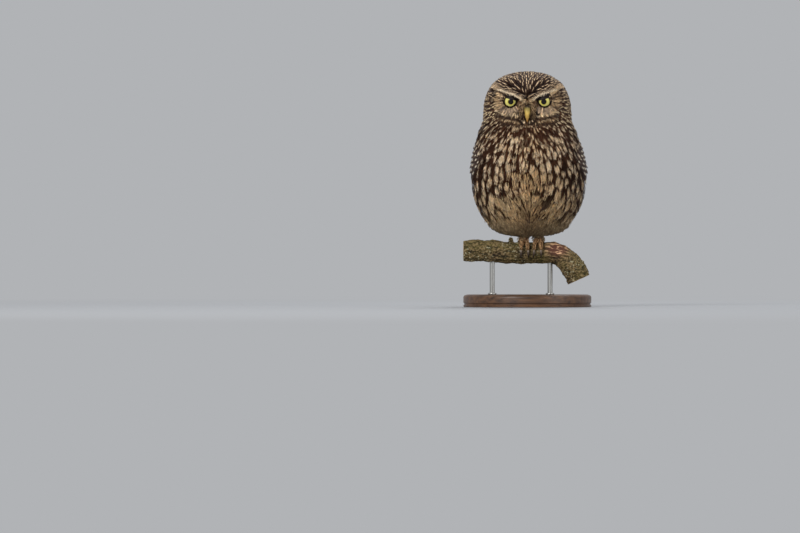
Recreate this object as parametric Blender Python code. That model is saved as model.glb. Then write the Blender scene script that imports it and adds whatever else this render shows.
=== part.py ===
"""A little owl at life size, perched on a short cut branch that a plain display stand holds.

Metres, +Z up. The origin is the centre of the base's underside. The owl faces -Y, so +X is on
the viewer's right, and its own left wing, leg and eye are on the +X side.
"""

import math

import bmesh
import bpy
import numpy as np
from mathutils import Matrix, Vector
from mathutils.bvhtree import BVHTree

MM = 0.001
GAP = 0.3 * MM

# Stand: a round plate and two rods up to the branch.
BASE_RADIUS = 62 * MM
BASE_THICKNESS = 12 * MM
BASE_EDGE = 2 * MM
ROD_RADIUS = 2.5 * MM
ROD_PLACES = (-34 * MM, 22 * MM)
ROD_LENGTH = 30 * MM
ROD_SINK = 4 * MM

# Branch: level under the feet, then bending down to its lower cut end.
PERCH_RADIUS = 10.5 * MM
PERCH_AXIS = BASE_THICKNESS + ROD_LENGTH + PERCH_RADIUS
PERCH_TOP = PERCH_AXIS + PERCH_RADIUS
PERCH_LEFT = -62 * MM
PERCH_SIDES = 16

# Heights of the owl are measured up from the top of the branch.
BELLY_BOTTOM = 7.2 * MM
CROWN = 165 * MM
NECK_LOW = 107 * MM
NECK_HIGH = 116.5 * MM
NECK_SLOPE = 0.13
LEAN_SIDEWAYS = 1.5 * MM

EYE_RADIUS = 7.4 * MM
EYE_SPACING = 31.4 * MM
EYE_HEIGHT = 136.3 * MM
EYE_OUTWARD = math.radians(12)
EYE_SET_BACK = 5.4 * MM
LID_THICKNESS = 1.1 * MM
LID_OPENING = 5.5 * MM
LID_TOP = 4.3 * MM
LID_SLANT = 0.22

BILL_ROOT_HEIGHT = 127.5 * MM
BILL_TIP_HEIGHT = 114.5 * MM

FOOT_PLACES = {"left": 10.6 * MM, "right": -3.4 * MM}
LEG_LEAN = {"left": -1.0 * MM, "right": 3.0 * MM}
SIDE_SIGN = {"left": 1, "right": -1}

FEATHER_BROWN = (0.16, 0.10, 0.065)
FEATHER_CREAM = (0.62, 0.52, 0.38)
FEATHER_BUFF = (0.45, 0.29, 0.15)
EYE_YELLOW = (0.85, 0.72, 0.12)
BILL_YELLOW = (0.66, 0.54, 0.16)
CLAW_GREY = (0.07, 0.06, 0.05)
BARK_GREEN = (0.19, 0.16, 0.08)
BASE_WOOD = (0.10, 0.06, 0.035)
ROD_STEEL = (0.35, 0.35, 0.36)


def clear_scene():
    """Removes whatever the scene holds."""
    for obj in list(bpy.data.objects):
        bpy.data.objects.remove(obj, do_unlink=True)


def material(name, colour, roughness, metallic=0.0):
    """A Principled finish of one colour, made once for each name."""
    found = bpy.data.materials.get(name)
    if found:
        return found
    made = bpy.data.materials.new(name)
    made.use_nodes = True
    shader = made.node_tree.nodes["Principled BSDF"]
    shader.inputs["Base Color"].default_value = (*colour, 1.0)
    shader.inputs["Roughness"].default_value = roughness
    shader.inputs["Metallic"].default_value = metallic
    return made


def smooth_curve(knots, values, at):
    """A smooth curve through values at the given knots, read at one or more places."""
    knots = np.asarray(knots, float)
    values = np.asarray(values, float)
    at = np.clip(np.asarray(at, float), knots[0], knots[-1])
    slopes = np.gradient(values, knots)
    i = np.clip(np.searchsorted(knots, at) - 1, 0, len(knots) - 2)
    span = knots[i + 1] - knots[i]
    t = (at - knots[i]) / span
    return (
        (2 * t**3 - 3 * t**2 + 1) * values[i]
        + (t**3 - 2 * t**2 + t) * span * slopes[i]
        + (3 * t**2 - 2 * t**3) * values[i + 1]
        + (t**3 - t**2) * span * slopes[i + 1]
    )


def fade(value, start, end):
    """0 before start, 1 past end and a smooth rise between them."""
    t = np.clip((value - start) / (end - start), 0.0, 1.0)
    return t * t * (3 - 2 * t)


def bump(distance, width):
    """A round swelling that is 1 at no distance and dies out past its width."""
    return np.exp(-((distance / width) ** 2))


def full_turn(count):
    """Angles that go once round in so many equal steps."""
    return [2 * math.pi * k / count for k in range(count)]


class Loft:
    """A body of level, near-elliptical sections.

    Each row is (height, half width, front, back, line of greatest width) in millimetres, with
    heights above the branch and front and back along Y. A closed loft has a first and a last row
    of no width, and its rows are read along a half turn, so that it ends round.
    """

    def __init__(self, rows, closed=False):
        self.rows = np.array(rows, float) * MM
        self.low, self.high = self.rows[0, 0], self.rows[-1, 0]
        self.closed = closed
        self.knots = self.measure(self.rows[:, 0])

    def measure(self, height):
        """How far up the loft a height is, on the scale that its rows are read along."""
        if not self.closed:
            return height
        share = 2 * (height - self.low) / (self.high - self.low) - 1
        return np.arcsin(np.clip(share, -1, 1))

    def section(self, height):
        """(half width, front, back, line of greatest width) at a height."""
        at = self.measure(height)
        return tuple(float(smooth_curve(self.knots, self.rows[:, k], at)) for k in range(1, 5))

    def bare(self, turn, height):
        """The point at a turn about Z (0 on the +X side, 90 degrees at the back)."""
        half, front, back, middle = self.section(height)
        depth = (back - middle) if math.sin(turn) > 0 else (middle - front)
        sideways = LEAN_SIDEWAYS * (1 - float(fade(height, 60 * MM, 118 * MM)))
        return Vector(
            (sideways + half * math.cos(turn), middle + depth * math.sin(turn), PERCH_TOP + height)
        )

    def point(self, turn, height, out=0.0):
        """A point of the surface, moved out along its normal."""
        here = self.bare(turn, height)
        if not out:
            return here
        step = 0.5 * MM
        along = self.bare(turn + 0.02, height) - self.bare(turn - 0.02, height)
        up = self.bare(turn, height + step) - self.bare(turn, height - step)
        return here + along.cross(up).normalized() * out


# The owl's body from the belly to the crown, with its plumage at rest. It leans forward, so its
# lower sections reach back to the root of the tail.
BODY = Loft(
    [
        (BELLY_BOTTOM / MM, 0, 10, 10, 10),
        (10, 26.0, -14, 38.0, 11),
        (18, 39.3, -26, 56.0, 12),
        (31, 48.4, -37.0, 67.0, 12),
        (44, 53.2, -43.5, 69.5, 10),
        (58, 55.6, -47.5, 66.0, 8),
        (72, 56.4, -49.2, 60.5, 5),
        (86, 54.8, -49.0, 55.0, 3),
        (98, 51.2, -47.0, 50.0, 1),
        (108, 46.8, -44.2, 45.6, -1),
        (117, 43.2, -41.5, 41.6, -3),
        (126, 42.6, -41.2, 38.4, -4),
        (136, 41.2, -41.8, 35.2, -5),
        (146, 37.6, -40.4, 30.4, -5),
        (154, 31.8, -36.0, 24.0, -6),
        (160.5, 22.4, -27.0, 14.0, -6),
        (CROWN / MM, 0, -6, -6, -6),
    ],
    closed=True,
)


class Cloak:
    """The surface that a folded wing lies along: over the body, and then out over the tail.

    It is read as (along, turn): along is 0 at the shoulders and 1 at the wing tips, and turn is
    0 sideways and 90 degrees up and back. Distances out from the axis are kept in a grid.
    """

    START = Vector((LEAN_SIDEWAYS, -8 * MM, PERCH_TOP + 88 * MM))
    AHEAD = Vector((0, 0.8815, -0.4722))
    UP = Vector((0, 0.4722, 0.8815))
    LENGTH = 127 * MM
    # (along, half width, height over the axis) of the narrowing end beyond the body, in mm.
    END = (
        (0.35, 40, 22),
        (0.5, 40, 19),
        (0.6, 35, 14),
        (0.7, 30, 10),
        (0.8, 26, 8),
        (0.9, 22.5, 6.5),
        (1.1, 17, 5),
    )
    ALONGS = np.linspace(-0.16, 1.06, 40)
    TURNS = np.radians(np.linspace(-50, 100, 32))
    BODY_TURNS = 90
    BODY_RINGS = 60
    CLEARANCE = 0.3 * MM
    FAR = 200 * MM

    def __init__(self, side):
        self.across = Vector((SIDE_SIGN[side], 0, 0))
        heights = body_heights(BELLY_BOTTOM, CROWN, self.BODY_RINGS)
        body = skin_rings("body_guide", body_rings(full_turn(self.BODY_TURNS), heights))
        mesh = bmesh.new()
        mesh.from_mesh(body.data)
        tree = BVHTree.FromBMesh(mesh)
        mesh.free()
        bpy.data.objects.remove(body, do_unlink=True)
        over_body = np.array(
            [[self.body_reach(tree, along, turn) for turn in self.TURNS] for along in self.ALONGS]
        )
        end = np.array(self.END)
        wide = smooth_curve(end[:, 0], end[:, 1] * MM, self.ALONGS)[:, None]
        high = smooth_curve(end[:, 0], end[:, 2] * MM, self.ALONGS)[:, None]
        free = 1 / np.hypot(np.cos(self.TURNS) / wide, np.sin(self.TURNS) / high)
        free = np.where(self.ALONGS[:, None] >= self.END[0][0], free, 0)
        reach = np.maximum(over_body, free)
        for _ in range(3):
            reach = self.smoothed(reach)
            reach = np.maximum(reach, over_body + self.CLEARANCE * (over_body > 0))
        self.reach = self.smoothed(reach)

    def body_reach(self, tree, along, turn):
        """How far the body's surface is from the axis, or 0 where it isn't met."""
        outward = self.across * math.cos(turn) + self.UP * math.sin(turn)
        start = self.START + self.AHEAD * (along * self.LENGTH) + outward * self.FAR
        distance = tree.ray_cast(start, -outward)[3]
        return self.FAR - distance if distance is not None and distance < self.FAR else 0.0

    @staticmethod
    def smoothed(grid):
        """The grid with each value drawn towards its neighbours."""
        padded = np.pad(grid, 1, mode="edge")
        around = padded[:-2, 1:-1] + padded[2:, 1:-1] + padded[1:-1, :-2] + padded[1:-1, 2:]
        return 0.5 * grid + 0.125 * around

    def bare(self, along, turn):
        """A point of the surface."""
        i = (along - self.ALONGS[0]) / (self.ALONGS[1] - self.ALONGS[0])
        j = (turn - self.TURNS[0]) / (self.TURNS[1] - self.TURNS[0])
        i = min(max(i, 0.0), len(self.ALONGS) - 1.001)
        j = min(max(j, 0.0), len(self.TURNS) - 1.001)
        a, b = int(i), int(j)
        i, j = i - a, j - b
        corners = self.reach[a : a + 2, b : b + 2]
        reach = float(np.array([1 - i, i]) @ corners @ np.array([1 - j, j]))
        outward = self.across * math.cos(turn) + self.UP * math.sin(turn)
        return self.START + self.AHEAD * (along * self.LENGTH) + outward * reach

    def point(self, along, turn, out=0.0):
        """A point over the surface by out."""
        here = self.bare(along, turn)
        if not out:
            return here
        forward = self.bare(along + 0.03, turn) - self.bare(along - 0.03, turn)
        around = self.bare(along, turn + 0.1) - self.bare(along, turn - 0.1)
        normal = forward.cross(around).normalized() * self.across.x
        return here + normal * out


def tag(mesh_object, finish):
    """Gives an object its finish and smooth shading, with creases kept."""
    mesh_object.data.materials.clear()
    mesh_object.data.materials.append(finish)
    mesh_object.data.shade_smooth()
    mesh_object.data.set_sharp_from_angle(angle=math.radians(40))
    return mesh_object


def link(name, mesh):
    """A new object for a bmesh, with its faces turned outwards."""
    bmesh.ops.recalc_face_normals(mesh, faces=mesh.faces)
    if mesh.calc_volume(signed=True) < 0:
        bmesh.ops.reverse_faces(mesh, faces=mesh.faces)
    data = bpy.data.meshes.new(name)
    mesh.to_mesh(data)
    mesh.free()
    made = bpy.data.objects.new(name, data)
    bpy.context.scene.collection.objects.link(made)
    return made


def skin_rings(name, rings):
    """A closed form through rings of points. A ring of one point is a pole, and others a cap."""
    mesh = bmesh.new()
    loops = [[mesh.verts.new(p) for p in ring] for ring in rings]
    for a, b in zip(loops, loops[1:]):
        sides = max(len(a), len(b))
        for k in range(sides):
            n = (k + 1) % sides
            corners = [a[k % len(a)], a[n % len(a)], b[n % len(b)], b[k % len(b)]]
            mesh.faces.new(list(dict.fromkeys(corners)))
    for loop in (loops[0], loops[-1]):
        if len(loop) > 2:
            mesh.faces.new(loop)
    return link(name, mesh)


def evaluated_mesh(obj):
    """The object's mesh with its modifiers applied."""
    graph = bpy.context.evaluated_depsgraph_get()
    return bpy.data.meshes.new_from_object(obj.evaluated_get(graph))


def apply_modifiers(obj):
    """Makes what the modifiers give the object's own mesh."""
    made = evaluated_mesh(obj)
    obj.modifiers.clear()
    obj.data = made
    return obj


def keep_largest(obj):
    """Keeps the largest closed surface of a mesh and drops loose scraps and sealed hollows."""
    mesh = bmesh.new()
    mesh.from_mesh(obj.data)
    left = set(mesh.verts)
    groups = []
    while left:
        front = [left.pop()]
        group = set(front)
        while front:
            for edge in front.pop().link_edges:
                for vert in edge.verts:
                    if vert in left:
                        left.discard(vert)
                        group.add(vert)
                        front.append(vert)
        groups.append(group)
    if len(groups) > 1:
        def reach(group):
            points = np.array([v.co for v in group])
            return float(np.prod(points.max(0) - points.min(0)))

        largest = max(groups, key=reach)
        bmesh.ops.delete(
            mesh, geom=[v for v in mesh.verts if v not in largest], context="VERTS"
        )
    mesh.to_mesh(obj.data)
    mesh.free()
    return obj


def cut(obj, tools, solver="EXACT"):
    """Takes the tools away from an object, and then removes them."""
    for tool in tools:
        modifier = obj.modifiers.new("cut", "BOOLEAN")
        modifier.operation = "DIFFERENCE"
        modifier.solver = solver
        modifier.object = tool
        apply_modifiers(obj)
        bpy.data.objects.remove(tool, do_unlink=True)
    return keep_largest(obj)


def fuse(obj, pieces, solver="EXACT"):
    """Joins pieces to an object by one union on a collection, and then removes them."""
    group = bpy.data.collections.new(obj.name + "_pieces")
    bpy.context.scene.collection.children.link(group)
    for piece in pieces:
        bpy.context.scene.collection.objects.unlink(piece)
        group.objects.link(piece)
    modifier = obj.modifiers.new("fuse", "BOOLEAN")
    modifier.operation = "UNION"
    modifier.solver = solver
    modifier.operand_type = "COLLECTION"
    modifier.collection = group
    apply_modifiers(obj)
    for piece in list(group.objects):
        bpy.data.objects.remove(piece, do_unlink=True)
    bpy.data.collections.remove(group)
    return keep_largest(obj)


def keep_side(obj, height, above):
    """Cuts an object at the sloping neck plane and keeps what is above or below it."""
    mesh = bmesh.new()
    mesh.from_mesh(obj.data)
    normal = Vector((0, -NECK_SLOPE, 1)).normalized()
    cut_geometry = bmesh.ops.bisect_plane(
        mesh,
        geom=mesh.verts[:] + mesh.edges[:] + mesh.faces[:],
        plane_co=(0, 0, PERCH_TOP + height),
        plane_no=normal,
        clear_inner=above,
        clear_outer=not above,
    )
    rim = [e for e in cut_geometry["geom_cut"] if isinstance(e, bmesh.types.BMEdge)]
    bmesh.ops.holes_fill(mesh, edges=rim, sides=0)
    bmesh.ops.triangulate(mesh, faces=[f for f in mesh.faces if len(f.verts) > 4])
    mesh.to_mesh(obj.data)
    mesh.free()
    return obj


def body_rings(turns, heights, relief=None):
    """Rings of the body's surface, the first and last drawn to a point where the body closes."""
    rings = []
    for height in heights:
        if height <= BELLY_BOTTOM or height >= CROWN:
            rings.append([BODY.bare(0, height)])
            continue
        ring = []
        for turn in turns:
            here = BODY.bare(turn, height)
            out = relief(here) if relief else 0.0
            ring.append(BODY.point(turn, height, out) if out else here)
        rings.append(ring)
    return rings


def body_heights(low, high, count):
    """Heights from low to high that crowd towards the body's closed ends."""
    ends = BODY.measure(np.array([low, high]))
    middle, half = 0.5 * (BELLY_BOTTOM + CROWN), 0.5 * (CROWN - BELLY_BOTTOM)
    heights = middle + half * np.sin(np.linspace(*ends, count + 1))
    return [low, *heights[1:-1], high]


def eye_centre(side):
    """The middle of an eyeball, set back from the face."""
    across = 0.5 * EYE_SPACING * SIDE_SIGN[side]
    turn = -math.acos(across / BODY.section(EYE_HEIGHT)[0])
    return BODY.bare(turn, EYE_HEIGHT) + Vector((0, EYE_SET_BACK, 0))


def gaze(side):
    """The way an eye looks: ahead and a little outwards."""
    return Vector((SIDE_SIGN[side] * math.sin(EYE_OUTWARD), -math.cos(EYE_OUTWARD), 0))


def lid_opening(name, side):
    """The hole between the lids: round, but cut off above by a frown that slants to the bill."""
    ahead = gaze(side)
    across = Vector((0, 0, 1)).cross(ahead)
    outward = SIDE_SIGN[side] * across.x
    ring = []
    for turn in full_turn(24):
        x, z = LID_OPENING * math.cos(turn), LID_OPENING * math.sin(turn)
        z = min(z, LID_TOP + LID_SLANT * x * math.copysign(1, outward))
        ring.append((x, z))
    centre = eye_centre(side)
    rings = [
        [centre + ahead * reach + across * x * spread + Vector((0, 0, z * spread)) for x, z in ring]
        for reach, spread in ((0.2 * EYE_RADIUS, 1.0), (EYE_RADIUS, 1.0), (3 * EYE_RADIUS, 1.7))
    ]
    return skin_rings(name, rings)


DISC_RADIUS = 19 * MM
DISC_DEPTH = 1.8 * MM
DISC_RIM = 1.5 * MM
LID_MOUND = 2.2 * MM
LID_MOUND_WIDTH = 7.6 * MM
BROW_HEIGHT = 3.6 * MM
BROW_INNER = (5.0 * MM, 138.6 * MM)
BROW_OUTER = (32.0 * MM, 151.0 * MM)
BROW_WIDTH = 3.4 * MM
MUZZLE_HEIGHT = 3.2 * MM
MUZZLE_WIDTH = 6.5 * MM


def face_relief(point):
    """How far the face stands out of, or sinks into, the plain head at a point."""
    if point.y > 0:
        return 0.0
    across, height = abs(point.x), point.z - PERCH_TOP
    from_eye = math.hypot(across - 0.5 * EYE_SPACING, height - EYE_HEIGHT)
    out = LID_MOUND * float(bump(from_eye, LID_MOUND_WIDTH))
    out -= DISC_DEPTH * float(bump(from_eye - 0.65 * DISC_RADIUS, 0.26 * DISC_RADIUS))
    out += DISC_RIM * float(bump(from_eye - DISC_RADIUS, 0.22 * DISC_RADIUS))
    run = (BROW_OUTER[0] - BROW_INNER[0], BROW_OUTER[1] - BROW_INNER[1])
    share = ((across - BROW_INNER[0]) * run[0] + (height - BROW_INNER[1]) * run[1]) / (
        run[0] ** 2 + run[1] ** 2
    )
    share = min(max(share, 0.0), 1.0)
    from_brow = math.hypot(
        across - BROW_INNER[0] - share * run[0], height - BROW_INNER[1] - share * run[1]
    )
    out += BROW_HEIGHT * (1 - 0.95 * share) * float(bump(from_brow, BROW_WIDTH))
    from_bill = math.hypot(across, height - BILL_ROOT_HEIGHT)
    out += MUZZLE_HEIGHT * float(bump(from_bill, MUZZLE_WIDTH))
    return out


BODY_TURNS = 40
HEAD_TURNS = 150
HEAD_RINGS = 62
HEAD_FACES = 1450


def make_ball(name, centre, radius, segments, rings):
    """A sphere in place, its poles at its front and back."""
    mesh = bmesh.new()
    bmesh.ops.create_uvsphere(mesh, u_segments=segments, v_segments=rings, radius=radius)
    bmesh.ops.rotate(mesh, verts=mesh.verts, matrix=Matrix.Rotation(math.radians(90), 3, "X"))
    bmesh.ops.translate(mesh, verts=mesh.verts, vec=centre)
    return link(name, mesh)


def make_head():
    """The head with its face, cut off at the neck and hollowed for the eyes and the bill."""
    turns = full_turn(HEAD_TURNS)
    heights = body_heights(NECK_HIGH - 12 * MM, CROWN, HEAD_RINGS)
    head = skin_rings("head", body_rings(turns, heights, face_relief))
    modifier = head.modifiers.new("fewer_faces", "DECIMATE")
    modifier.ratio = HEAD_FACES / (2 * HEAD_TURNS * HEAD_RINGS)
    apply_modifiers(head)
    keep_side(head, NECK_HIGH + 0.5 * GAP, above=True)
    lids = [
        make_ball(f"lids_{side}", eye_centre(side), EYE_RADIUS + GAP + LID_THICKNESS, 20, 12)
        for side in SIDE_SIGN
    ]
    fuse(head, lids)
    tools = [make_ball("socket", eye_centre(s), EYE_RADIUS + GAP, 20, 12) for s in SIDE_SIGN]
    tools += [lid_opening("lid_opening", side) for side in SIDE_SIGN]
    tools.append(make_bill_upper("bill_hole", GAP))
    tools.append(make_bill_lower("chin_hole", GAP))
    return tag(cut(head, tools), material("feathers_head", FEATHER_BROWN, 0.9))


def make_neck():
    """The short neck, a collar between the head and the body."""
    turns = full_turn(BODY_TURNS)
    heights = np.linspace(NECK_LOW - 9 * MM, NECK_HIGH + 9 * MM, 8)
    neck = skin_rings("neck", body_rings(turns, heights))
    keep_side(neck, NECK_HIGH - 0.5 * GAP, above=False)
    keep_side(neck, NECK_LOW + 0.5 * GAP, above=True)
    return tag(neck, material("feathers_head", FEATHER_BROWN, 0.9))


def tube(name, points, radii, sides, grow=0.0, flat=1.0, up=Vector((0, 0, 1))):
    """A closed tube along points. flat squeezes its sections along up."""
    rings = []
    for k, (point, radius) in enumerate(zip(points, radii)):
        ahead = points[min(k + 1, len(points) - 1)]
        behind = points[max(k - 1, 0)]
        along = (ahead - behind).normalized()
        side = along.cross(up).normalized()
        top = side.cross(along)
        centre = point
        if k == 0:
            centre = point - along * grow
        if k == len(points) - 1:
            centre = point + along * grow
        rings.append(
            [
                centre
                + side * (radius + grow) * math.cos(2 * math.pi * n / sides)
                + top * (radius * flat + grow) * math.sin(2 * math.pi * n / sides)
                for n in range(sides)
            ]
        )
    return skin_rings(name, rings)


def bezier(a, b, c, d, share):
    """A point of a cubic curve."""
    s = 1 - share
    return a * s**3 + b * 3 * s**2 * share + c * 3 * s * share**2 + d * share**3


def face_point(height):
    """Where the middle line of the plain head's face is at a height."""
    return BODY.bare(-0.5 * math.pi, height)


def make_bill_upper(name, grow=0.0):
    """The hooked upper mandible, out of the face and then down over the lower one."""
    root = face_point(BILL_ROOT_HEIGHT) + Vector((0, 3.5 * MM, 0))
    out = root + Vector((0, -9.0 * MM, 1.8 * MM))
    over = Vector((0, root.y - 12.2 * MM, PERCH_TOP + 122.5 * MM))
    tip = Vector((0, root.y - 9.4 * MM, PERCH_TOP + BILL_TIP_HEIGHT))
    shares = [0, 0.2, 0.4, 0.56, 0.7, 0.82, 0.92, 1.0]
    widths = [3.0, 3.0, 2.85, 2.55, 2.1, 1.55, 1.0, 0.45]
    points = [bezier(root, out, over, tip, s) for s in shares]
    return tube(name, points, [w * MM for w in widths], 12, grow, 1.35, Vector((0, -0.5, 1)))


def make_bill_lower(name, grow=0.0):
    """The short lower mandible, under the upper one."""
    root = face_point(BILL_ROOT_HEIGHT) + Vector((0, 4.0 * MM, -7.4 * MM))
    out = root + Vector((0, -4 * MM, 0.2 * MM))
    tip = root + Vector((0, -9.0 * MM, -1.4 * MM))
    shares = [0, 0.35, 0.65, 0.88, 1.0]
    widths = [2.7, 2.6, 2.2, 1.5, 0.7]
    points = [bezier(root, out, 0.5 * (out + tip), tip, s) for s in shares]
    return tube(name, points, [w * MM for w in widths], 10, grow, 0.75)


# Across, ahead and up from the face's middle line at the bill's root.
NOSTRIL_PLACE = (2.75 * MM, -2.9 * MM, 0.9 * MM)
NOSTRIL_RADIUS = 0.8 * MM


def make_bill():
    """Both mandibles, with nostrils in the upper one and the line of the mouth between them."""
    upper = make_bill_upper("bill_upper")
    across, ahead, up = NOSTRIL_PLACE
    nostrils = []
    for sign in SIDE_SIGN.values():
        place = face_point(BILL_ROOT_HEIGHT) + Vector((across * sign, ahead, up))
        nostrils.append(make_ball("nostril", place, NOSTRIL_RADIUS, 8, 6))
    cut(upper, nostrils)
    lower = make_bill_lower("bill_lower")
    cut(lower, [make_bill_upper("mouth_line", GAP)])
    horn = material("bill_horn", BILL_YELLOW, 0.35)
    tag(upper, horn)
    tag(lower, horn)


def make_eyes():
    """The eyeballs in their sockets."""
    for side in SIDE_SIGN:
        ball = make_ball(f"eye_{side}", eye_centre(side), EYE_RADIUS, 18, 10)
        tag(ball, material("eye", EYE_YELLOW, 0.08))


def make_torso(cloaks):
    """The body up to the shoulders, with pockets for the wings, the legs and the tail."""
    turns = full_turn(BODY_TURNS)
    heights = body_heights(BELLY_BOTTOM, NECK_LOW + 9 * MM, 20)
    torso = skin_rings("torso", body_rings(turns, heights))
    keep_side(torso, NECK_LOW - 0.5 * GAP, above=False)
    tools = []
    for side in SIDE_SIGN:
        pocket = wing_slab(f"pocket_{side}", cloaks[side], outer=POCKET_OUTER)
        tools.append(swell(pocket, POCKET_GAP))
    tools += [make_leg(f"leg_hole_{side}", side, grow=GAP) for side in SIDE_SIGN]
    tools.append(tail_root("tail_hole", grow=GAP))
    cut(torso, tools, solver="MANIFOLD")
    return tag(torso, material("feathers_body", FEATHER_CREAM, 0.9))


# The wing's lower and upper edges on the cloak: (along, degrees).
WING_LOWER = (
    (-0.13, -10),
    (-0.06, -21),
    (0.1, -24),
    (0.26, -26),
    (0.45, -26),
    (0.62, -27),
    (0.8, -27),
    (0.92, -20),
    (1.0, -6),
)
WING_UPPER = (
    (-0.13, 4),
    (-0.06, 14),
    (0.07, 30),
    (0.3, 50),
    (0.5, 62),
    (0.7, 65),
    (0.85, 58),
    (1.0, 26),
)
# The slab's ends along the cloak, its depth there, its outer face, and its pocket's size.
WING_ALONG = (-0.12, 0.76)
SLAB_INNER = (-3.7 * MM, -3.0 * MM)
SLAB_OUTER = -1.1 * MM
SLAB_COLUMNS, SLAB_ROWS = 7, 12
POCKET_OUTER = 2 * MM
POCKET_GAP = 2.2 * GAP


def edge_turn(edge, along):
    """The turn of one of the wing's edges."""
    places, degrees = zip(*edge)
    return math.radians(float(smooth_curve(places, degrees, along)))


def on_wing(cloak, along, share, out=0.0):
    """A point over the cloak: share is 0 at the wing's lower edge and 1 at its upper edge."""
    lower, upper = edge_turn(WING_LOWER, along), edge_turn(WING_UPPER, along)
    return cloak.point(along, lower + (upper - lower) * share, out)


def wing_slab(name, cloak, outer=SLAB_OUTER):
    """A curved slab over the wing's whole outline, which is also the shape of its pocket."""
    grids = [[], []]
    for along in np.linspace(*WING_ALONG, SLAB_ROWS):
        inner = float(np.interp(along, (0.45, 0.9), SLAB_INNER))
        for grid, out in zip(grids, (inner, outer)):
            shares = np.linspace(0, 1, SLAB_COLUMNS)
            grid.append([on_wing(cloak, along, share, out) for share in shares])
    return closed_slab(name, grids)


def swell(obj, grow):
    """Moves all faces of a form outwards."""
    mesh = bmesh.new()
    mesh.from_mesh(obj.data)
    mesh.normal_update()
    moves = [vert.normal * (grow * min(vert.calc_shell_factor(), 2.0)) for vert in mesh.verts]
    for vert, move in zip(mesh.verts, moves):
        vert.co += move
    mesh.to_mesh(obj.data)
    mesh.free()
    return obj


def closed_slab(name, grids):
    """A closed body between two grids of points of the same size."""
    mesh = bmesh.new()
    inner, outer = ([[mesh.verts.new(p) for p in line] for line in grid] for grid in grids)
    rows, columns = len(inner), len(inner[0])
    for r in range(rows - 1):
        for c in range(columns - 1):
            for grid in (inner, outer):
                a, b = grid[r][c], grid[r][c + 1]
                d, e = grid[r + 1][c + 1], grid[r + 1][c]
                mesh.faces.new((a, b, d))
                mesh.faces.new((a, d, e))
    rim = [(0, c) for c in range(columns)] + [(r, columns - 1) for r in range(1, rows)]
    rim += [(rows - 1, c) for c in reversed(range(columns - 1))]
    rim += [(r, 0) for r in reversed(range(1, rows - 1))]
    for k, (r, c) in enumerate(rim):
        s, d = rim[(k + 1) % len(rim)]
        mesh.faces.new((inner[r][c], inner[s][d], outer[s][d], outer[r][c]))
    return link(name, mesh)


# A vane's half width at shares of its length, each against its widest.
VANE_SHAPE = ((0.0, 0.65), (0.4, 1.0), (0.82, 0.9), (1.0, 0.3))
VANE_THICKNESS = 0.6 * MM


def vane(name, place, shape=VANE_SHAPE, thickness=VANE_THICKNESS):
    """A feather's vane, both of its faces split into the same triangles.

    place(share along, width from -1 to 1, out) gives its points.
    """
    mesh = bmesh.new()
    rings = []
    for share, width in shape:
        corners = ((-width, 0.5), (width, 0.5), (width, -0.5), (-width, -0.5))
        rings.append([mesh.verts.new(place(share, x, out * thickness)) for x, out in corners])
    for (a, b, c, d), (e, f, g, h) in zip(rings, rings[1:]):
        top_and_bottom = [(a, b, f), (a, f, e), (d, g, c), (d, h, g)]
        edges = [(b, c, g), (b, g, f), (d, a, e), (d, e, h)]
        for face in top_and_bottom + edges:
            mesh.faces.new(face)
    for a, b, c, d in (rings[0], rings[-1]):
        mesh.faces.new((a, b, c))
        mesh.faces.new((a, c, d))
    return link(name, mesh)


# The wing's tiers from the lowest to the uppermost: (name, count, root and tip along the wing for
# the first vane and for the last, shares of the wing's width for them, half width, height of root
# and of tip over the cloak, and how much higher each next vane lies), in mm.
WING_TIERS = (
    ("primary", 4, (0.56, 0.93), (0.60, 1.04), (0.13, 0.52), 5.6, (-2.3, -2.0), 0.6),
    ("secondary", 6, (0.28, 0.68), (0.44, 0.90), (0.12, 0.88), 6.6, (-2.1, 0.2), 0.0),
    ("greater_covert", 5, (0.10, 0.42), (0.26, 0.60), (0.12, 0.88), 8.0, (-2.1, 0.9), 0.0),
    ("median_covert", 4, (-0.05, 0.20), (0.12, 0.38), (0.16, 0.84), 9.2, (-2.1, 1.3), 0.0),
)
VANE_ROLL = 0.8 * MM
VANE_MARGIN = 0.4 * MM
WING_SOLVER = "MANIFOLD"


def wing_vane(name, cloak, ends, share, half, lift):
    """One vane of a tier, along the wing at a share of its width and kept inside its edges."""

    def place(along_share, across, out):
        along = ends[0] + (ends[1] - ends[0]) * along_share
        lower, upper = edge_turn(WING_LOWER, along), edge_turn(WING_UPPER, along)
        middle = lower + (upper - lower) * share
        reach = (cloak.bare(along, middle + 0.05) - cloak.bare(along, middle - 0.05)).length / 0.1
        margin = VANE_MARGIN / reach
        turn = min(max(middle + across * half / reach, lower + margin), upper - margin)
        height = lift[0] + (lift[1] - lift[0]) * along_share
        return cloak.point(along, turn, height - VANE_ROLL * (turn - middle) * reach / half + out)

    return vane(name, place)


def wing_vanes(side, cloak):
    """All vanes of a folded wing, in tiers, each over the one below and the one behind it."""
    vanes = []
    for name, count, first, last, shares, half, lift, step in WING_TIERS:
        for k in range(count):
            t = k / (count - 1)
            ends = [a + (b - a) * t for a, b in zip(first, last)]
            share = shares[0] + (shares[1] - shares[0]) * t
            heights = [lift[0] * MM, (lift[1] + step * k) * MM]
            vanes.append(wing_vane(f"{name}_{side}_{k}", cloak, ends, share, half * MM, heights))
    return vanes


def make_wing(side, cloak):
    """A folded wing: a slab that lies in the body's pocket, and the tiers of vanes on it."""
    wing = wing_slab(f"wing_{side}", cloak)
    fuse(wing, wing_vanes(side, cloak), solver=WING_SOLVER)
    return tag(wing, material("feathers_wing", FEATHER_BROWN, 0.85))


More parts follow.
